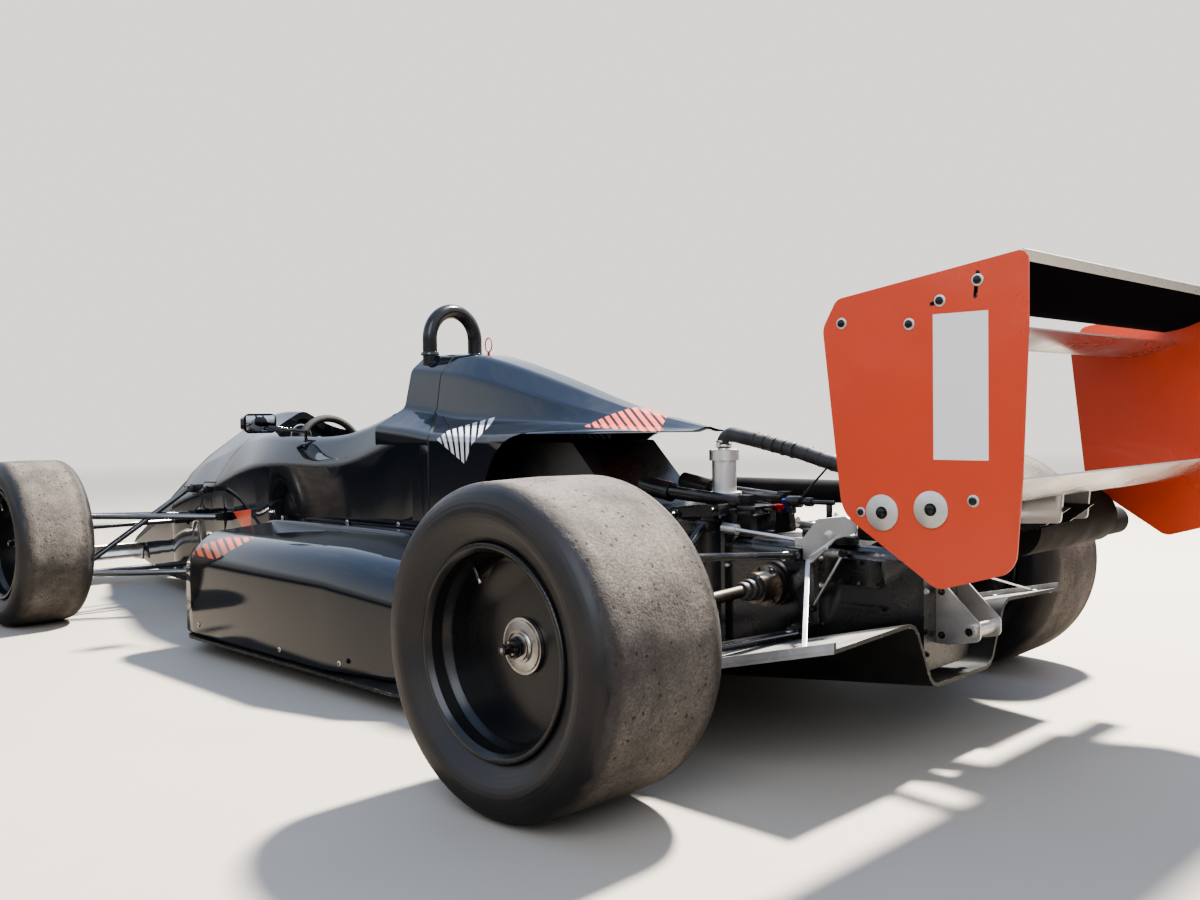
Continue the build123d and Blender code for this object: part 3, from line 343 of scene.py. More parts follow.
def paintBody():
    _, tree, shader, place = made["body_paint"]
    axes = axesOf(tree, place)
    for mark in marks:
        overlay(tree, shader, markShare(tree, axes, mark), mark["colour"], mark["rough"])
    for run in seams["runs"]:
        line = lineAlong(tree, axes[1], axes[2], run, seams["half"])
        overlay(tree, shader, line, seams["colour"], seams["rough"])
    dust = noise(tree, place, bodyDust["scale"], 6)
    dust = between(tree, dust, *bodyDust["patches"], 0.0, bodyDust["most"])
    low = between(tree, axes[2], *bodyDust["heights"], 1.0, bodyDust["above"])
    overlay(tree, shader, maths(tree, "MULTIPLY", dust, low), bodyDust["colour"], bodyDust["rough"])


# end plates: shallow dents, and a blank white panel on each outer face
plateLook = {
    "dentScale": 5.5, "dentStrength": 0.5, "dentDepth": 0.012,
    "panel": [(578, 599), (667, 599), (667, 821), (578, 821)], "soft": 0.4,
    "outerFace": (0.4962, 0.4966), "colour": (0.92, 0.91, 0.92), "rough": 0.35,
}


def paintPlates():
    _, tree, shader, place = made["plate_orange"]
    x, y, z = axesOf(tree, place)
    dents = noise(tree, place, plateLook["dentScale"], 2)
    addBump(tree, shader, dents, plateLook["dentStrength"], plateLook["dentDepth"])
    panel = insideOf(tree, y, z, plateLook["panel"], plateLook["soft"])
    panel = maths(tree, "MULTIPLY", panel, between(tree, x, *plateLook["outerFace"]))
    overlay(tree, shader, panel, plateLook["colour"], plateLook["rough"])


# floor: pale worn metal on the diffuser's flat lips, laid on the faces turned up or outwards, so it is also a
# painted highlight
lipLook = {"highlightFacing": (0.6, 0.8), "y": (-0.30, 0.0), "x": (0.24, 0.27), "wornScale": 14,
           "worn": (0.35, 0.6, 0.55, 1.0), "colour": (0.42, 0.41, 0.40), "rough": 0.34}


def paintLipWearAndHighlight():
    _, tree, shader, place = made["floor_black"]
    x, y, _ = axesOf(tree, place)
    facing = addNode(tree, "ShaderNodeSeparateXYZ", {0: normalOf(tree)}).outputs
    # painted highlight: faces turned up or outwards get the pale tone, as a lit face would look
    highlightFacing = maths(tree, "MAXIMUM", maths(tree, "ABSOLUTE", facing["X"]), facing["Z"])
    lip = combine(tree, "MULTIPLY", [
        between(tree, highlightFacing, *lipLook["highlightFacing"]), between(tree, y, *lipLook["y"]),
        between(tree, x, *lipLook["x"]),
        between(tree, noise(tree, place, lipLook["wornScale"], 5), *lipLook["worn"])])
    overlay(tree, shader, lip, lipLook["colour"], lipLook["rough"])


# rear flap: bare metal on top and on its trailing lip, black underneath
flapLook = {"under": (-0.10, -0.16), "beforeLip": (0.7115, 0.7110), "colour": (0.010, 0.009, 0.010),
            "rough": 0.55}


def paintFlap():
    _, tree, shader, place = made["flap_metal"]
    up = addNode(tree, "ShaderNodeSeparateXYZ", {0: normalOf(tree)}).outputs["Z"]
    beforeLip = between(tree, axesOf(tree, place)[1], *flapLook["beforeLip"])
    under = maths(tree, "MULTIPLY", between(tree, up, *flapLook["under"]), beforeLip)
    overlay(tree, shader, under, flapLook["colour"], flapLook["rough"])
    tree.links.new(maths(tree, "SUBTRACT", 1.0, under), shader.inputs["Metallic"])


for paint in (paintBody, paintPlates, paintLipWearAndHighlight, paintFlap):
    paint()

# worn slick tyre: pale scrubbed tread with picked-up rubber, painted shade that darkens the tread towards
# each shoulder, dark sidewalls with faint rings
wheelLooks = {
    "front": {"x": 760, "y": -2610, "radius": 275, "half": 118},
    "rear": {"x": 775, "y": 0, "radius": 285, "half": 150},
}
tyreLook = {
    "wobbleScale": 26, "wobble": (0.3, 0.7, -0.006, 0.006),
    "treadEdge": (0.016, 0.030), "treadDepth": (0.03, 0.02), "treadRough": 0.88,
    "blotchScale": 6, "blotch": (0.36, 0.64), "scrubTones": ((0.080, 0.068, 0.060), (0.235, 0.210, 0.180)),
    "grainScale": 210, "grain": (0.40, 0.62), "grainTone": (0.040, 0.036, 0.034), "grainShare": 0.55,
    # shoulder: painted shade along the tread's edges, its width, tone and share
    "shoulder": (0.052, 0.036), "shoulderShadeTone": (0.048, 0.042, 0.038), "shoulderShadeShare": 0.75,
    "fleckScale": 62.0, "fleckWobble": (0.3, 0.7, -0.1, 0.1), "fleck": (0.20, 0.13), "chance": (0.46, 0.50),
    "fleckTone": (0.05, 0.045, 0.042), "fleckHeight": 1.6,
    "ringsPerMetre": 760, "ringHeight": 0.025, "grainHeight": 0.7, "lumpScale": 48, "lumpHeight": 0.9,
    "bump": 0.85, "bumpDepth": 0.0028,
}


def makeTyre(name, wheel):
    look = tyreLook
    finish, tree, shader, place = makeFinish(name, looks["tyre_rubber"])
    x, y, z = axesOf(tree, place)
    across = maths(tree, "ABSOLUTE", maths(tree, "SUBTRACT", x, wheel["x"] / 1000))
    dy = maths(tree, "SUBTRACT", y, wheel["y"] / 1000)
    dz = maths(tree, "SUBTRACT", z, wheel["radius"] / 1000)
    squares = maths(tree, "ADD", maths(tree, "MULTIPLY", dy, dy), maths(tree, "MULTIPLY", dz, dz))
    radial = maths(tree, "SQRT", squares)
    wobble = between(tree, noise(tree, place, look["wobbleScale"], 5), *look["wobble"])
    across = maths(tree, "ADD", across, wobble)
    edge, radius = wheel["half"] / 1000, wheel["radius"] / 1000
    tread = between(tree, across, *(edge - inset for inset in look["treadEdge"]))
    outside = between(tree, radial, *(radius - depth for depth in look["treadDepth"]))
    tread = maths(tree, "MULTIPLY", tread, outside)
    blotch = between(tree, noise(tree, place, look["blotchScale"], 6, 0.7), *look["blotch"])
    fine = noise(tree, place, look["grainScale"], 4, 0.7)
    scrub = mixColour(tree, blotch, *look["scrubTones"])
    grained = mixColour(tree, look["grainShare"], scrub, look["grainTone"])
    scrub = mixColour(tree, between(tree, fine, *look["grain"]), grained, scrub)
    # painted shade: the tread's colour darkens towards each shoulder, where the rounded tread turns away from
    # the light
    shoulder = between(tree, across, *(edge - inset for inset in look["shoulder"]))
    shoulder = maths(tree, "MULTIPLY", shoulder, look["shoulderShadeShare"])
    scrub = mixColour(tree, shoulder, scrub, look["shoulderShadeTone"])
    cells = {"Vector": place, "Scale": look["fleckScale"], "Randomness": 1.0}
    flecks = addNode(tree, "ShaderNodeTexVoronoi", cells).outputs
    fleck = maths(tree, "ADD", flecks["Distance"], between(tree, fine, *look["fleckWobble"]))
    chance = addNode(tree, "ShaderNodeSeparateColor", {0: flecks["Color"]}).outputs[0]
    chance = between(tree, chance, *look["chance"])
    fleck = maths(tree, "MULTIPLY", between(tree, fleck, *look["fleck"]), chance)
    scrub = mixColour(tree, fleck, scrub, look["fleckTone"])
    overlay(tree, shader, tread, scrub, look["treadRough"])
    rings = maths(tree, "SINE", maths(tree, "MULTIPLY", radial, look["ringsPerMetre"]))
    rings = maths(tree, "MULTIPLY", rings, look["ringHeight"])
    relief = combine(tree, "ADD", [
        maths(tree, "MULTIPLY", fine, look["grainHeight"]),
        maths(tree, "MULTIPLY", noise(tree, place, look["lumpScale"], 4), look["lumpHeight"]),
        maths(tree, "MULTIPLY", fleck, look["fleckHeight"])])
    height = maths(tree, "MULTIPLY_ADD", tread, maths(tree, "SUBTRACT", relief, rings), rings)
    addBump(tree, shader, height, look["bump"], look["bumpDepth"])
    return finish


tyreFinish = {name: makeTyre("tyre_" + name, wheel) for name, wheel in wheelLooks.items()}
print("finishes:", len(finishes))

# CAD solids with their doubles merged, flat areas joined, and finishes on
nodeSlot = {s["node"]: s["material_slot"] for s in frame["record"]["subparts"]}
nodeFinish = {
    "rear_flap": "flap_metal",
    "exhaust": "exhaust_black",
    "front_wishbones": "arm_black",
    "track_rods": "rod_steel",
}
skinShape = {"doubles": 2e-5, "flatAngle": 0.6, "sharpAngle": 32}


def dressNode(node):
    mesh = frame["nodes"][node].data.copy()
    piece = bpy.data.objects.new(node + "Skin", mesh)
    bpy.context.scene.collection.objects.link(piece)
    shell = bmesh.new()
    shell.from_mesh(mesh)
    bmesh.ops.remove_doubles(shell, verts=shell.verts, dist=skinShape["doubles"])
    flat = math.radians(skinShape["flatAngle"])
    bmesh.ops.dissolve_limit(shell, angle_limit=flat, verts=shell.verts, edges=shell.edges)
    shell.to_mesh(mesh)
    shell.free()
    kind, _, end = node.partition("_")
    own = tyreFinish[end.split("_")[0]] if kind == "tyre" else finishes[nodeFinish.get(node, nodeSlot[node])]
    mesh.materials.clear()
    mesh.materials.append(own)
    for face in mesh.polygons:
        face.use_smooth = True
    mesh.set_sharp_from_angle(angle=math.radians(skinShape["sharpAngle"]))
    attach(piece, nodeBody[node])
    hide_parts(node)
    return piece


skins = {node: dressNode(node) for node in nodeBody}
print("nodes dressed:", len(skins))

# the seat is foam under cloth: its solid remeshed and rounded, with sewn channels across base and back
seatPad = {"voxel": 7, "rounds": 16, "pull": 0.5, "pitch": 78, "depth": 4.5, "width": 7, "fill": 0.85}


def addSeatPad():
    piece = skins["seat"]
    remesh = piece.modifiers.new("round", "REMESH")
    remesh.mode, remesh.voxel_size = "VOXEL", seatPad["voxel"] / 1000
    shaped = piece.evaluated_get(bpy.context.evaluated_depsgraph_get())
    shell = bmesh.new()
    shell.from_mesh(shaped.to_mesh())
    shaped.to_mesh_clear()
    piece.modifiers.clear()
    axes = {"use_axis_x": True, "use_axis_y": True, "use_axis_z": True}
    for _ in range(seatPad["rounds"]):
        bmesh.ops.smooth_vert(shell, verts=shell.verts, factor=seatPad["pull"], **axes)
    shell.normal_update()
    pushes = []
    for vert in shell.verts:
        along = (vert.co.z - vert.co.y) * 1000 % seatPad["pitch"] - seatPad["pitch"] / 2
        pushes.append(vert.normal * math.exp(-(along / seatPad["width"]) ** 2) * seatPad["depth"] / 1000)
    for vert, push in zip(shell.verts, pushes):
        vert.co -= push
    for face in shell.faces:
        face.smooth = True
        face.material_index = 0
    shell.to_mesh(piece.data)
    shell.free()


addSeatPad()
print("seat padded")

# helpers for the small pieces: a shape is gathered in one shell, then given a body and a finish
bothSides = (1, -1)


def frameAlong(start, direction):
    turned = Vector(direction).normalized().to_track_quat("Z", "Y").to_matrix().to_4x4()
    return Matrix.Translation(start) @ turned


def soften(shell, edges, bevel):
    bmesh.ops.bevel(shell, geom=list(edges), offset=bevel / 1000, offset_type="OFFSET", segments=2,
                    profile=0.5, affect="EDGES", material=-1)


# a rod's rim is each edge that turns by more than a radian
def addRod(shell, start, end, radius, segments=16, bevel=0.0, endRadius=None):
    start, end = spot(*start), spot(*end)
    rod = bmesh.ops.create_cone(
        shell, cap_ends=True, cap_tris=False, segments=segments, radius1=radius / 1000,
        radius2=(radius if endRadius is None else endRadius) / 1000, depth=(end - start).length,
        matrix=frameAlong((start + end) / 2, end - start))
    if bevel:
        edges = {e for v in rod["verts"] for e in v.link_edges}
        soften(shell, {e for e in edges if len(e.link_faces) == 2 and e.calc_face_angle() > 1.0}, bevel)


# rods from a table with the columns shell, start, end, radius, segments and bevel
def addRods(shells, rows, signs=bothSides, shift=(0, 0, 0)):
    for kind, start, end, *shape in rows:
        for sign in signs:
            ends = [(sign * (p[0] + shift[0]), p[1] + shift[1], p[2] + shift[2]) for p in (start, end)]
            addRod(shells[kind], *ends, *shape)


def addBlock(shell, low, high, bevel=1.0):
    a, b = spot(*low), spot(*high)
    place = Matrix.Translation((a + b) / 2) @ Matrix.Diagonal((*(b - a), 1.0))
    block = bmesh.ops.create_cube(shell, size=1.0, matrix=place)
    if bevel:
        soften(shell, {e for v in block["verts"] for e in v.link_edges}, bevel)


# bolt as shares of its size: washer and hexagon head with length, radius and bevel, then its round end with
# start, end, radius and bevel
boltShape = {"washer": (0.18, 0.72, 0.05), "head": (0.55, 0.5, 0.06), "end": (0.5, 0.72, 0.26, 0.04)}


def addBolt(shell, place, direction, size):
    away = Vector(direction).normalized()
    foot = Vector(place)
    length, radius, bevel = boltShape["washer"]
    addRod(shell, foot, foot + away * size * length, size * radius, 20, size * bevel)
    foot = foot + away * size * length
    length, radius, bevel = boltShape["head"]
    addRod(shell, foot, foot + away * size * length, size * radius, 6, size * bevel)
    low, high, radius, bevel = boltShape["end"]
    addRod(shell, foot + away * size * low, foot + away * size * high, size * radius, 12, size * bevel)


# bolts from a table with the columns shell, place, direction and size, on both sides of the car
def addBolts(shells, rows):
    for kind, (x, y, z), (across, back, up), size in rows:
        for sign in bothSides:
            addBolt(shells[kind], (sign * x, y, z), (sign * across, back, up), size)


# tube along a run of points, turned a little at each one
def addTube(shell, points, radius, segments=12):
    points = [spot(*p) for p in points]
    ways = []
    for i in range(len(points)):
        before, after = points[max(i - 1, 0)], points[min(i + 1, len(points) - 1)]
        ways.append((after - before).normalized())
    place = frameAlong(points[0], ways[0])
    circle = bmesh.ops.create_circle(shell, cap_ends=True, segments=segments, radius=radius / 1000,
                                     matrix=place)
    edges = list({e for v in circle["verts"] for e in v.link_edges})
    for i in range(1, len(points)):
        grown = bmesh.ops.extrude_edge_only(shell, edges=edges)["geom"]
        ring = [g for g in grown if isinstance(g, bmesh.types.BMVert)]
        edges = [g for g in grown if isinstance(g, bmesh.types.BMEdge)]
        turnBy = ways[i - 1].rotation_difference(ways[i]).to_matrix().to_4x4()
        move = Matrix.Translation(points[i]) @ turnBy @ Matrix.Translation(-points[i - 1])
        bmesh.ops.transform(shell, matrix=move, verts=ring)
    bmesh.ops.contextual_create(shell, geom=edges)


# smooth run of points through a few corners
def flow(corners, steps=6):
    rows = [Vector(c) for c in corners]
    dense = []
    for i in range(len(rows) - 1):
        start = (rows[i + 1] - rows[max(i - 1, 0)]) / 2
        end = (rows[min(i + 2, len(rows) - 1)] - rows[i]) / 2
        for k in range(steps):
            t = k / steps
            rise = t * t * (3 - 2 * t)
            dense.append(rows[i].lerp(rows[i + 1], rise) + t * (1 - t) * ((1 - t) * start - t * end))
    return dense + [rows[-1]]


def newShells(*names):
    return {name: bmesh.new() for name in names}


def finishPiece(name, shell, slot, body="chassis", finish=None, mirrored=False):
    if mirrored:
        geom = [*shell.verts, *shell.edges, *shell.faces]
        copy = bmesh.ops.duplicate(shell, geom=geom)["geom"]
        bmesh.ops.scale(shell, vec=(-1, 1, 1), verts=[g for g in copy if isinstance(g, bmesh.types.BMVert)])
        bmesh.ops.reverse_faces(shell, faces=[g for g in copy if isinstance(g, bmesh.types.BMFace)])
    mesh = bpy.data.meshes.new(name)
    shell.to_mesh(mesh)
    shell.free()
    mesh.materials.append(finishes[finish or slot])
    piece = bpy.data.objects.new(name, mesh)
    bpy.context.scene.collection.objects.link(piece)
    for face in mesh.polygons:
        face.use_smooth = True
    mesh.set_sharp_from_angle(angle=math.radians(38))
    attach(piece, body)
    return piece


# end plates: broad washers with dark bolts, smaller bolts in pale rings, and slots for setting the flap
plateHardware = {
    "face": 497,
    "washers": [(489, 513), (574, 522)],
    "washerRods": [("pale", (0, 0, 0), (3, 0, 0), 29, 40, 0.8), ("dark", (3, 0, 0), (7, 0, 0), 8, 6, 0.8),
                   ("dark", (3, 0, 0), (4, 0, 0), 10, 20, 0)],
    "bolts": [(450, 512, 8), (643, 538, 9.5), (416, 818, 9.5), (538, 809, 9.5), (590, 841, 9.5),
              (651, 867, 9.5)],
    "boltRing": 1.4,
    "boltTop": 4.5,
    "boltShare": 0.66,
    "slots": [((576, 837), (590, 841)), ((647, 843), (651, 878))],
    "slotRod": ("dark", (0, 0, 0), (0.5, 0, 0), 3.2, 12, 0),
    "slotStep": 3,
}


def addPlateHardware():
    shells = newShells("pale", "dark")
    face, ring = plateHardware["face"], plateHardware["face"] + plateHardware["boltRing"]
    for y, z in plateHardware["washers"]:
        addRods(shells, plateHardware["washerRods"], (1,), (face, y, z))
    for y, z, radius in plateHardware["bolts"]:
        addRod(shells["pale"], (face, y, z), (ring, y, z), radius, 24, 0.4)
        top = (face + plateHardware["boltTop"], y, z)
        addRod(shells["dark"], (ring, y, z), top, radius * plateHardware["boltShare"], 18, 0.8)
    for (ya, za), (yb, zb) in plateHardware["slots"]:
        steps = int(math.hypot(yb - ya, zb - za) / plateHardware["slotStep"])
        for i in range(steps + 1):
            place = (face, ya + (yb - ya) * i / steps, za + (zb - za) * i / steps)
            addRods(shells, [plateHardware["slotRod"]], (1,), place)
    finishPiece("plateWashers", shells["pale"], "brushed_aluminium", mirrored=True)
    finishPiece("plateBolts", shells["dark"], "black_metal", mirrored=True)


addPlateHardware()

# wheels: dark locking nut with its clip on the stub, ring on the hub's flange, valve and balance weights;
# columns are shell, start and end as x past the web or the bead, radius and angle, then the rod's own shape
wheelTrim = {
    "front": {"x": 760, "y": -2610, "z": 275, "web": 20, "bead": 96},
    "rear": {"x": 775, "y": 0, "z": 285, "web": 53, "bead": 128},
}
nutPins = [math.radians(60 * i + 30) for i in range(6)]
wheelRods = {
    "web": [
        ("pale", (8, 0, 0), (10, 0, 0), 44, 48, 0.8),
        ("pale", (14, 0, 0), (17, 0, 0), 23, 36, 0.8),
        ("dark", (17, 0, 0), (25, 0, 0), 19, 6, 1.2),
        ("dark", (25, 0, 0), (30, 0, 0), 15, 24, 1.0),
        *[("dark", (30, 12.5, angle), (35, 12.5, angle), 3.4, 8, 0.4) for angle in nutPins],
        ("dark", (34, 0, 0), (52, 0, 0), 9, 20, 1.2),
        ("dark", (44, 22, 0.5), (44, 22, 0.5 + math.pi), 2.2, 10, 0.6),
        ("pale", (52, 0, 0), (52.6, 0, 0), 4, 16, 0),
        *[("dark", (44, 22, 0.5), (56, 17, angle), 1.6, 8, 0.4) for angle in (0.3, 0.7)],
    ],
    "bead": [
        ("dark", (-30, 158, 2.1), (-30, 130, 2.1), 4, 10, 0.6),
        ("pale", (-30, 132, 2.1), (-30, 122, 2.1), 3, 10, 0.5),
        *[("pale", (-20, 163, angle), (-10, 163, angle), 3.2, 8, 0.6) for angle in (0.9, 0.98, 1.06)],
    ],
}


def addWheelTrim(end, side):
    trim = wheelTrim[end]
    sign = 1 if side == "left" else -1
    shells = newShells("dark", "pale")
    for base, rows in wheelRods.items():
        for kind, *ends, radius, segments, bevel in rows:
            start, stop = ((sign * (trim["x"] + trim[base] + out), trim["y"] + far * math.cos(angle),
                            trim["z"] + far * math.sin(angle)) for out, far, angle in ends)
            addRod(shells[kind], start, stop, radius, segments, bevel)
    body = f"{end}_{side}_wheel"
    finishPiece(f"wheelNut_{end}_{side}", shells["dark"], "black_metal", body)
    finishPiece(f"wheelRings_{end}_{side}", shells["pale"], "hub_metal", body)


for end in wheelTrim:
    for side in ("left", "right"):
        addWheelTrim(end, side)
print("wheels trimmed")

# tail: bolts round the casing's flanges and side covers, small black boxes, links and fittings
tail = {
    # y, half width, low and top of each flange
    "flanges": [(-144, 110, 132, 458), (106, 112, 142, 406), (335, 92, 164, 400)],
    "flangeBolt": {"size": 9, "inset": 7, "corner": 34, "middle": 40, "topShare": 0.55, "paleAbove": 300},
    "blocks": [
        ((-22, -156, 452.4), (22, -92, 466)),
        ((52, -216, 452.4), (60, -60, 462)),
        ((40, 30, 400.5), (62, 96, 424)),
        ((66, 110, 400.5), (96, 176, 418)),
        ((-60, 110, 400.5), (-30, 176, 430)),
    ],
    "coverBolts": [("dark", (106, y, z), (1, 0, 0), 8) for z in (327, 369) for y in (158, 200, 242)],
    "bolts": [
        ("pale", (150, 157, 427), (1, 0, 0), 12),
        ("pale", (150, 150, 400), (1, 0, 0), 8),
        ("pale", (132, 163, 463.5), (0, -0.13, 1), 9),
        ("dark", (150, -253, 446), (1, 0, 0), 18),
        ("dark", (150, -140, 462), (1, 0, 0), 12),
    ],
    # thin rod across the casing's side, with its eyes
    "rods": [
        ("pale", (112, 165, 384), (112, 92, 268), 3.5, 12, 0),
        ("dark", (104, 165, 386), (118, 165, 386), 8, 14, 1),
        ("dark", (102, 92, 266), (118, 92, 266), 8, 14, 1),
    ],
    # link pins in the feet of the rear arms
    "pins": [(74, 380), (-236, 390), (84, 219), (-236, 192)],
    "pinRods": [
        ("pale", (166, -19, 0), (166, 19, 0), 5, 12, 1),
        ("dark", (166, 15, 0), (166, 19.5, 0), 9, 6, 0.8),
        ("dark", (166, -19.5, 0), (166, -15, 0), 9, 6, 0.8),
        ("pale", (176, 0, 0), (192, 0, 0), 10, 6, 1),
    ],
    "jackBolts": [("dark", (45, y, z), (1, 0, 0), 10) for y, z in ((348, 318), (348, 232), (408, 246))],
}


def addTail():
    shells = newShells("dark", "pale")
    bolt = tail["flangeBolt"]
    inset, corner, gap = bolt["inset"], bolt["corner"], bolt["middle"]
    for y, half, low, top in tail["flanges"]:
        middle = (low + top) / 2
        for z in (low + corner, middle - gap, middle + gap, top - corner):
            kind = "pale" if z > bolt["paleAbove"] else "dark"
            addBolts(shells, [(kind, (half - inset, y, z), (0, 1, 0), bolt["size"])])
        x = half * bolt["topShare"]
        addBolts(shells, [("dark", (x, y, top - inset), (0, 1, 0), bolt["size"])])
    for low, high in tail["blocks"]:
        addBlock(shells["dark"], low, high, 2)
    for group in ("coverBolts", "bolts", "jackBolts"):
        addBolts(shells, tail[group])
    addRods(shells, tail["rods"])
    for y, z in tail["pins"]:
        addRods(shells, tail["pinRods"], shift=(0, y, z))
    finishPiece("tailDark", shells["dark"], "black_metal")
    finishPiece("tailPale", shells["pale"], "brushed_aluminium")


addTail()

# top of the casing: selector shaft in its guides, stay of the hose, red and blue hose ends
topGear = {
    "rods": [
        ("dark", (6, -44, 476), (6, 76, 478), 5, 20, 1.2),
        ("dark", (6, -44, 476), (6, -10, 477), 13, 20, 1.2),
        ("dark", (6, 2, 477), (6, 20, 477.5), 10, 20, 1.2),
        ("dark", (0, -50, 452), (0, 58, 557), 2.2, 10, 0),
    ],
    "blocks": [
        ((-2, -40, 450), (14, -28, 468)),
        ((0, 58, 398), (12, 68, 474)),
        ((66, -108, 450), (112, -64, 470)),
    ],
    "fittings": {"red": (-12, -84, 462), "blue": (-30, -74, 474)},
    "deck": 450,
    "stem": (4.5, 12, 0.6),
    "hoseEnd": [("end", (0, -12, -2), (0, 4, 0), 7, 6, 0.8), ("end", (0, 4, 0), (0, 13, 1), 5.5, 16, 0.6)],
}


def addTopGear():
    shells = newShells("dark")
    addRods(shells, topGear["rods"], (1,))
    for low, high in topGear["blocks"]:
        addBlock(shells["dark"], low, high, 2)
    finishPiece("topGear", shells["dark"], "black_metal")
    for colour, (x, y, z) in topGear["fittings"].items():
        shells = newShells("end")
        addRod(shells["end"], (x, y, topGear["deck"]), (x, y, z - 4), *topGear["stem"])
        addRods(shells, topGear["hoseEnd"], (1,), (x, y, z))
        finishPiece(f"fitting_{colour}", shells["end"], "brushed_aluminium", finish="anodised_" + colour)


addTopGear()

# driveshafts: bolts round the inner joint's flange, and a ribbed rubber boot at each joint
shaftTrim = {
    "inner": (132, 310),
    "outer": (668, 289),
    "bolts": {"count": 6, "circle": 37, "x": (154, 160), "shape": (5.5, 6, 0.8)},
    # x and radius of each rib
    "ribs": [(196, 26), (205, 21), (214, 24), (223, 18), (232, 20),
             (604, 32), (594, 25), (584, 28), (574, 20), (565, 22)],
    "ribHalf": 4.5,
    "ribTaper": 2,
}


def addShaftTrim(side):
    sign = 1 if side == "left" else -1
    shells = newShells("pale", "boot")
    (innerX, innerZ), (outerX, outerZ) = shaftTrim["inner"], shaftTrim["outer"]
    slope = (outerZ - innerZ) / (outerX - innerX)
    bolts, half, taper = shaftTrim["bolts"], shaftTrim["ribHalf"], shaftTrim["ribTaper"]
    for i in range(bolts["count"]):
        angle = math.radians(360 / bolts["count"] * i)
        y, z = bolts["circle"] * math.cos(angle), innerZ + bolts["circle"] * math.sin(angle)
        addRod(shells["pale"], *((sign * x, y, z) for x in bolts["x"]), *bolts["shape"])
    for x, radius in shaftTrim["ribs"]:
        z = innerZ + slope * (x - innerX)
        start, end = (sign * (x - half), 0, z), (sign * (x + half), 0, z + slope * 2 * half)
        addRod(shells["boot"], start, end, radius, 28, taper, radius - taper)
    body = f"{side}_driveshaft"
    finishPiece(f"shaftBolts_{side}", shells["pale"], "shaft_bronze", body)
    finishPiece(f"shaftBoots_{side}", shells["boot"], "hose_black", body)


for side in ("left", "right"):
    addShaftTrim(side)

# breather hose: clamps with their screws at its ends, and ribs wound round it between
hoseTrim = {
    "clamps": [(-231, 597), (-231, 607), (262, 480), (262, 490)],
    "clampRod": ("clamp", (0, 0, 0), (0, 0, 5), 18.6, 32, 0.8),
    "screws": [(-231, 600), (262, 484)],
    "screwBox": ((16, -5, -4), (24, 5, 6)),
    "runs": [((0, -150, 617), (0, -20, 588)), ((-5, -10, 586), (4, 90, 560)), ((3, 96, 559), (-3, 190, 548))],
    "ribPitch": 26,
    "ribHalf": 3.5,
    "ribShape": (18.5, 28, 1.6),
}


def addHoseTrim():
    shells = newShells("rib", "clamp")
    for y, z in hoseTrim["clamps"]:
        addRods(shells, [hoseTrim["clampRod"]], (1,), (0, y, z))
    for y, z in hoseTrim["screws"]:
        low, high = ((corner[0], y + corner[1], z + corner[2]) for corner in hoseTrim["screwBox"])
        addBlock(shells["clamp"], low, high, 1)
    for start, end in hoseTrim["runs"]:
        a, b = Vector(start), Vector(end)
        half = (b - a).normalized() * hoseTrim["ribHalf"]
        count = int((b - a).length / hoseTrim["ribPitch"])
        for i in range(count):
            middle = a.lerp(b, (i + 0.5) / count)
            addRod(shells["rib"], middle - half, middle + half, *hoseTrim["ribShape"])
    finishPiece("hoseClamps", shells["clamp"], "brushed_aluminium")
    finishPiece("hoseRibs", shells["rib"], "hose_black")


addHoseTrim()
print("tail built")

# body: flange along the tub, screws, ridge on each sidepod, screws of the floor's lips, the hoop's pads
bodyTrim = {
    # the flange runs from its front to its rear, each y, low and high
    "flange": {"x": 262, "half": 2, "front": (-1843, 314, 375), "rear": (-1090, 358, 387), "steps": 12,
               "least": 372, "overlap": 0.1},
    "screws": [(263, -1818, 362), (263, -1441, 370), (263, -1180, 378),
               (620, -1670, 88), (620, -1208, 79), (620, -923, 84)],
    "screwRods": [("pale", (0, 0, 0), (2.2, 0, 0), 7, 20, 0.8),
                  ("slot", (2.2, 0, 0), (2.8, 0, 0), 3.2, 12, 0)],
    "ridge": [(345, -1752, 346), (345, -1700, 357), (345, -1400, 361), (345, -1060, 361), (345, -1010, 352)],
    "ridgeRadius": 12,
    # screws along the diffuser's lips, from a start by a run
    "lip": {"count": 9, "start": (590, -560, 52.5), "run": (-135, 929, 218), "inset": 18, "height": 2.5,
            "shape": (5, 14, 0.6)},
    "hoopPads": {"start": (84, -1262, 858), "end": (84, -1262, 868), "shape": (28, 32, 2, 25)},
}


def addFlange(shell):
    flange = bodyTrim["flange"]
    for sign in bothSides:
        for i in range(flange["steps"]):
            a, b = i / flange["steps"], (i + 1) / flange["steps"]
            spans = list(zip(flange["front"], flange["rear"]))
            y0, y1 = (spans[0][0] + (spans[0][1] - spans[0][0]) * t for t in (a, b))
            low, high = (front + (rear - front) * (a + b) / 2 for front, rear in spans[1:])
            inner, outer = (sign * flange["x"] + out for out in (-flange["half"], flange["half"]))
            start = (inner, y0, max(low, flange["least"]))
            addBlock(shell, start, (outer, y1 + flange["overlap"], high), 0)


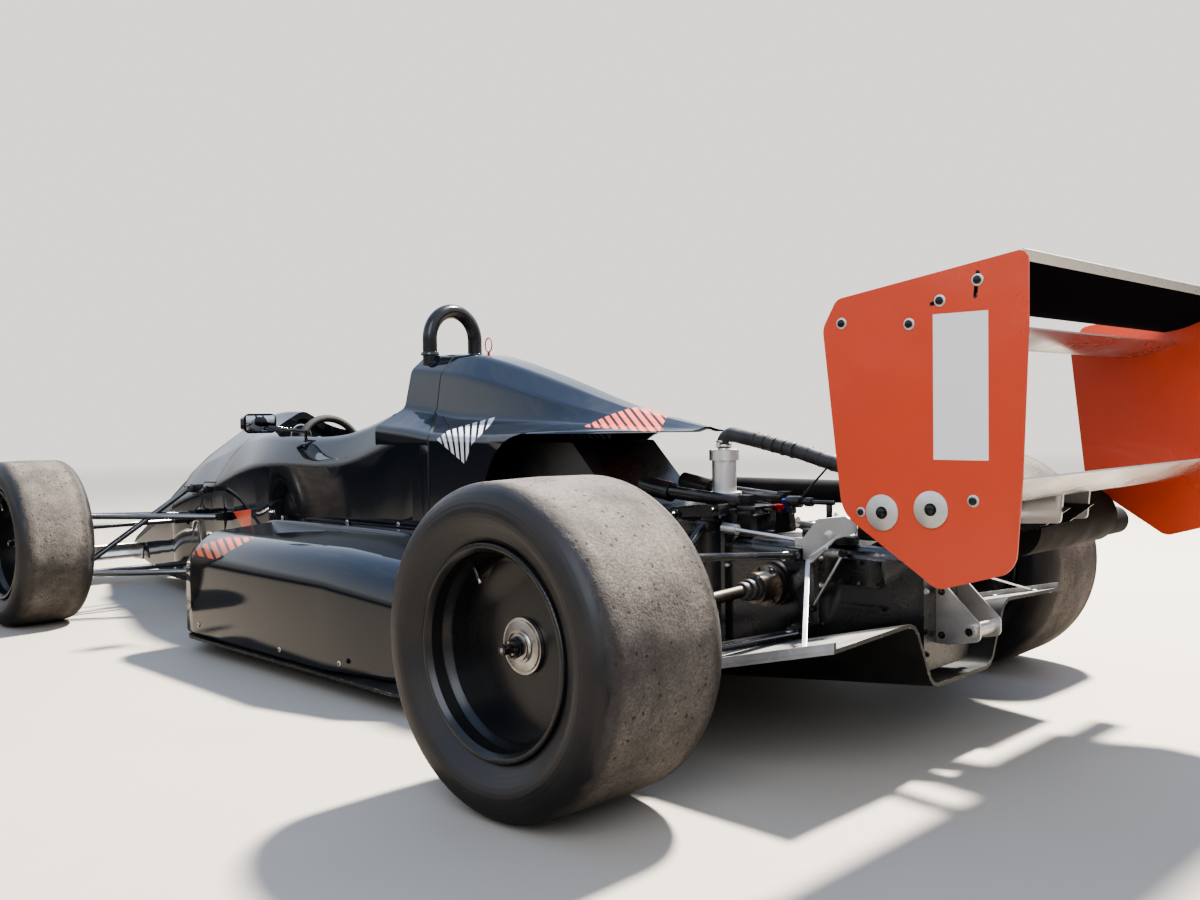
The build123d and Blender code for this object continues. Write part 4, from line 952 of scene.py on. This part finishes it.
def addBodyTrim():
    shells = newShells("skin", "pale", "slot")
    addFlange(shells["skin"])
    for place in bodyTrim["screws"]:
        addRods(shells, bodyTrim["screwRods"], shift=place)
    for sign in bothSides:
        ridge = [(sign * x, y, z) for x, y, z in flow(bodyTrim["ridge"])]
        addTube(shells["skin"], ridge, bodyTrim["ridgeRadius"], 16)
    lip = bodyTrim["lip"]
    for i in range(lip["count"]):
        t = (i + 0.5) / lip["count"]
        x, y, z = (start + run * t for start, run in zip(lip["start"], lip["run"]))
        for sign in bothSides:
            foot = (sign * (x - lip["inset"]), y, z)
            addRod(shells["pale"], foot, (foot[0], y, z + lip["height"]), *lip["shape"])
    pads = bodyTrim["hoopPads"]
    addRods(shells, [("skin", pads["start"], pads["end"], *pads["shape"])])
    finishPiece("bodyTrim", shells["skin"], "body_paint")
    finishPiece("bodyScrews", shells["pale"], "brushed_aluminium")
    finishPiece("screwSlots", shells["slot"], "black_metal")


addBodyTrim()

# ring of the fire pull behind the hoop, on a short stalk
pullRing = {"centre": (0, -1094, 882), "radius": 20, "wire": 1.8, "steps": 24, "lean": 0.2,
            "stalk": ("ring", (0, -1094, 850), (0, -1094, 863), 4, 12, 0.8)}


def addPullRing():
    shells = newShells("ring")
    points = []
    for i in range(pullRing["steps"] + 1):
        angle = math.tau * i / pullRing["steps"]
        out = Vector((pullRing["lean"] * math.cos(angle), math.cos(angle), math.sin(angle)))
        points.append(Vector(pullRing["centre"]) + pullRing["radius"] * out)
    addTube(shells["ring"], points, pullRing["wire"], 8)
    addRods(shells, [pullRing["stalk"]], (1,))
    finishPiece("pullRing", shells["ring"], "black_metal", finish="pull_red")


addPullRing()

# cockpit: belts with their buckle, dials, gear lever, mirror glass
cockpit = {
    "beltWidth": 46,
    "beltThickness": 0.003,
    "shoulder": [(1.1, -1360, 548), (1, -1430, 470), (0.9, -1540, 265), (0.4, -1640, 160)],
    "shoulderX": 70,
    "lap": [(140, -1640, 160), (90, -1650, 150), (20, -1660, 158)],
    "buckle": ((0, -1655, 158), (0, -1655, 176), 26, 28, 3),
    # x, z and radius of each dial
    "dials": [(0, 618, 42), (-74, 590, 25), (74, 590, 25)],
    "dialY": {"ring": (-2162, -2146), "face": (-2146.5, -2145)},
    "dialRim": 5,
    "lever": ((-150, -1850, 330), (-158, -1850, 440), 6, 12, 1),
    "knob": ((-158, -1850, 438), (-160, -1850, 474), 16, 24, 8),
    "mirror": {"x": 316, "z": 664, "half": (49, 25), "y": (-1850, -1848.6), "bevel": 0.4},
}


def addBelt(shell, corners, width):
    rows = []
    for point in (spot(*c) for c in flow(corners, 5)):
        pair = (point + Vector((side * width / 2000, 0, 0)) for side in (-1, 1))
        rows.append([bmesh.ops.create_vert(shell, co=co)["vert"][0] for co in pair])
    for before, after in zip(rows, rows[1:]):
        bmesh.ops.contextual_create(shell, geom=[*before, after[1], after[0]])


def addCockpit():
    shells = newShells("belt", "metal", "dial", "glass")
    width = cockpit["beltWidth"]
    for x in (-cockpit["shoulderX"], cockpit["shoulderX"]):
        addBelt(shells["belt"], [(x * share, y, z) for share, y, z in cockpit["shoulder"]], width)
    for sign in bothSides:
        addBelt(shells["belt"], [(sign * x, y, z) for x, y, z in cockpit["lap"]], width)
    addRod(shells["metal"], *cockpit["buckle"])
    (ringBack, ringFront), (faceBack, faceFront) = cockpit["dialY"]["ring"], cockpit["dialY"]["face"]
    for x, z, radius in cockpit["dials"]:
        addRod(shells["metal"], (x, ringBack, z), (x, ringFront, z), radius, 36, 2)
        addRod(shells["dial"], (x, faceBack, z), (x, faceFront, z), radius - cockpit["dialRim"], 36)
    addRod(shells["metal"], *cockpit["lever"])
    addRod(shells["dial"], *cockpit["knob"])
    mirror = cockpit["mirror"]
    (halfX, halfZ), (back, front) = mirror["half"], mirror["y"]
    for sign in bothSides:
        x, z = sign * mirror["x"], mirror["z"]
        low, high = (x - halfX, back, z - halfZ), (x + halfX, front, z + halfZ)
        addBlock(shells["glass"], low, high, mirror["bevel"])
    belts = finishPiece("belts", shells["belt"], "seat_cloth", finish="belt_blue")
    belts.modifiers.new("thickness", "SOLIDIFY").thickness = cockpit["beltThickness"]
    finishPiece("cockpitMetal", shells["metal"], "brushed_aluminium")
    finishPiece("dials", shells["dial"], "black_metal", finish="dial_face")
    finishPiece("mirrorGlass", shells["glass"], "brushed_aluminium", finish="mirror_glass")


addCockpit()
print("cockpit built")

# floor that fades into the pale surroundings; reflections and bounced light see a darker copy of it, painted
# shade: half as bright near the car, and its far part dark, as a wall of shade would be
surround = (1.15, 1.10, 1.04)
studio = {
    "half": 60,
    "look": lookOf((0.53, 0.49, 0.43), (0.49, 0.455, 0.40), (0.6, 0.75), patchScale=1.2),
    "fade": (5.0, 16.0),
    "shadeTones": ((0.27, 0.245, 0.21), (0.09, 0.087, 0.083)),
    "shadeFade": (4.0, 7.0),
}


def addStudioFloor():
    mesh = bpy.data.meshes.new("floor")
    shell = bmesh.new()
    bmesh.ops.create_grid(shell, x_segments=1, y_segments=1, size=studio["half"])
    shell.to_mesh(mesh)
    shell.free()
    studioFloor = bpy.data.objects.new("studioFloor", mesh)
    bpy.context.scene.collection.objects.link(studioFloor)
    finish, tree, shader, place = makeFinish("paleFloor", studio["look"])
    away = addNode(tree, "ShaderNodeVectorMath", {0: place}, operation="LENGTH").outputs["Value"]
    glow = addNode(tree, "ShaderNodeEmission", {"Color": (*surround, 1), "Strength": 1.0}).outputs[0]
    far = between(tree, away, *studio["fade"])
    pale = addNode(tree, "ShaderNodeMixShader", {0: far, 1: shader.outputs[0], 2: glow}).outputs[0]
    # painted shade: rays other than the camera's meet this darker floor, dimmer still further out
    dark = mixColour(tree, between(tree, away, *studio["shadeFade"]), *studio["shadeTones"])
    shade = addNode(tree, "ShaderNodeBsdfDiffuse", {"Color": dark}).outputs[0]
    seen = addNode(tree, "ShaderNodeLightPath").outputs["Is Camera Ray"]
    both = addNode(tree, "ShaderNodeMixShader", {0: seen, 1: shade, 2: pale}).outputs[0]
    tree.links.new(both, tree.nodes["Material Output"].inputs["Surface"])
    mesh.materials.append(finish)


addStudioFloor()

# soft sky: dark low rim, pale haze and thin cloud above it, blue overhead; the camera sees the pale surround
skyLook = {
    "rim": (0.13, 0.125, 0.12),
    "bands": [
        {"heights": (0.02, 0.07), "tone": (0.42, 0.42, 0.41)},
        {"heights": (0.10, 0.20), "tone": (0.86, 0.92, 1.00)},
        {"heights": (0.25, 0.80), "tone": (0.40, 0.55, 0.86)},
    ],
    "cloudStretch": (1.0, 1.0, 3.0), "cloudScale": 2.2, "cloud": (0.52, 0.74, 0.0, 0.75),
    "cloudHeights": (0.12, 0.3), "cloudTone": (0.95, 0.97, 1.0),
    "strength": 0.8, "mirroredShare": 1.7,
}


def addSky():
    world = bpy.data.worlds.new("softSky")
    world.use_nodes = True
    bpy.context.scene.world = world
    sky = world.node_tree
    place = addNode(sky, "ShaderNodeTexCoord").outputs["Generated"]
    height = addNode(sky, "ShaderNodeSeparateXYZ", {0: place}).outputs["Z"]
    tone = skyLook["rim"]
    for band in skyLook["bands"]:
        tone = mixColour(sky, between(sky, height, *band["heights"]), tone, band["tone"])
    stretch = {0: place, 1: skyLook["cloudStretch"]}
    cloudPlace = addNode(sky, "ShaderNodeVectorMath", stretch, operation="MULTIPLY").outputs[0]
    cloud = between(sky, noise(sky, cloudPlace, skyLook["cloudScale"], 6, 0.6), *skyLook["cloud"])
    cloud = maths(sky, "MULTIPLY", cloud, between(sky, height, *skyLook["cloudHeights"]))
    tone = mixColour(sky, cloud, tone, skyLook["cloudTone"])
    rays = addNode(sky, "ShaderNodeLightPath").outputs
    seen, mirrored = rays["Is Camera Ray"], rays["Is Glossy Ray"]
    strength = skyLook["strength"]
    power = between(sky, mirrored, 0, 1, strength, strength * skyLook["mirroredShare"])
    power = maths(sky, "MULTIPLY_ADD", seen, maths(sky, "SUBTRACT", 1.0, power), power)
    background = sky.nodes["Background"].inputs
    sky.links.new(mixColour(sky, seen, tone, surround), background["Color"])
    sky.links.new(power, background["Strength"])


addSky()

lamps = {
    "key": {"place": (-4.3, 0.7, 7.4), "aim": (0, 0.3, 0.3), "size": 0.8, "power": 3700,
            "tone": (1.0, 0.93, 0.84)},
    "fill": {"place": (5.0, 4.5, 4.5), "aim": (0, 0.5, 0.4), "size": 5.0, "power": 200,
             "tone": (0.95, 0.97, 1.0)},
}


def addLamp(name, lamp):
    data = bpy.data.lights.new(name, "AREA")
    data.shape = "DISK"
    data.size = lamp["size"]
    data.energy = lamp["power"]
    data.color = lamp["tone"]
    light = bpy.data.objects.new(name, data)
    light.location = lamp["place"]
    aim = Vector(lamp["aim"]) - Vector(lamp["place"])
    light.rotation_euler = aim.to_track_quat("-Z", "Y").to_euler()
    bpy.context.scene.collection.objects.link(light)


for name, lamp in lamps.items():
    addLamp(name, lamp)
bpy.context.scene.view_settings.look = "AgX - Medium High Contrast"
print("stage ready")
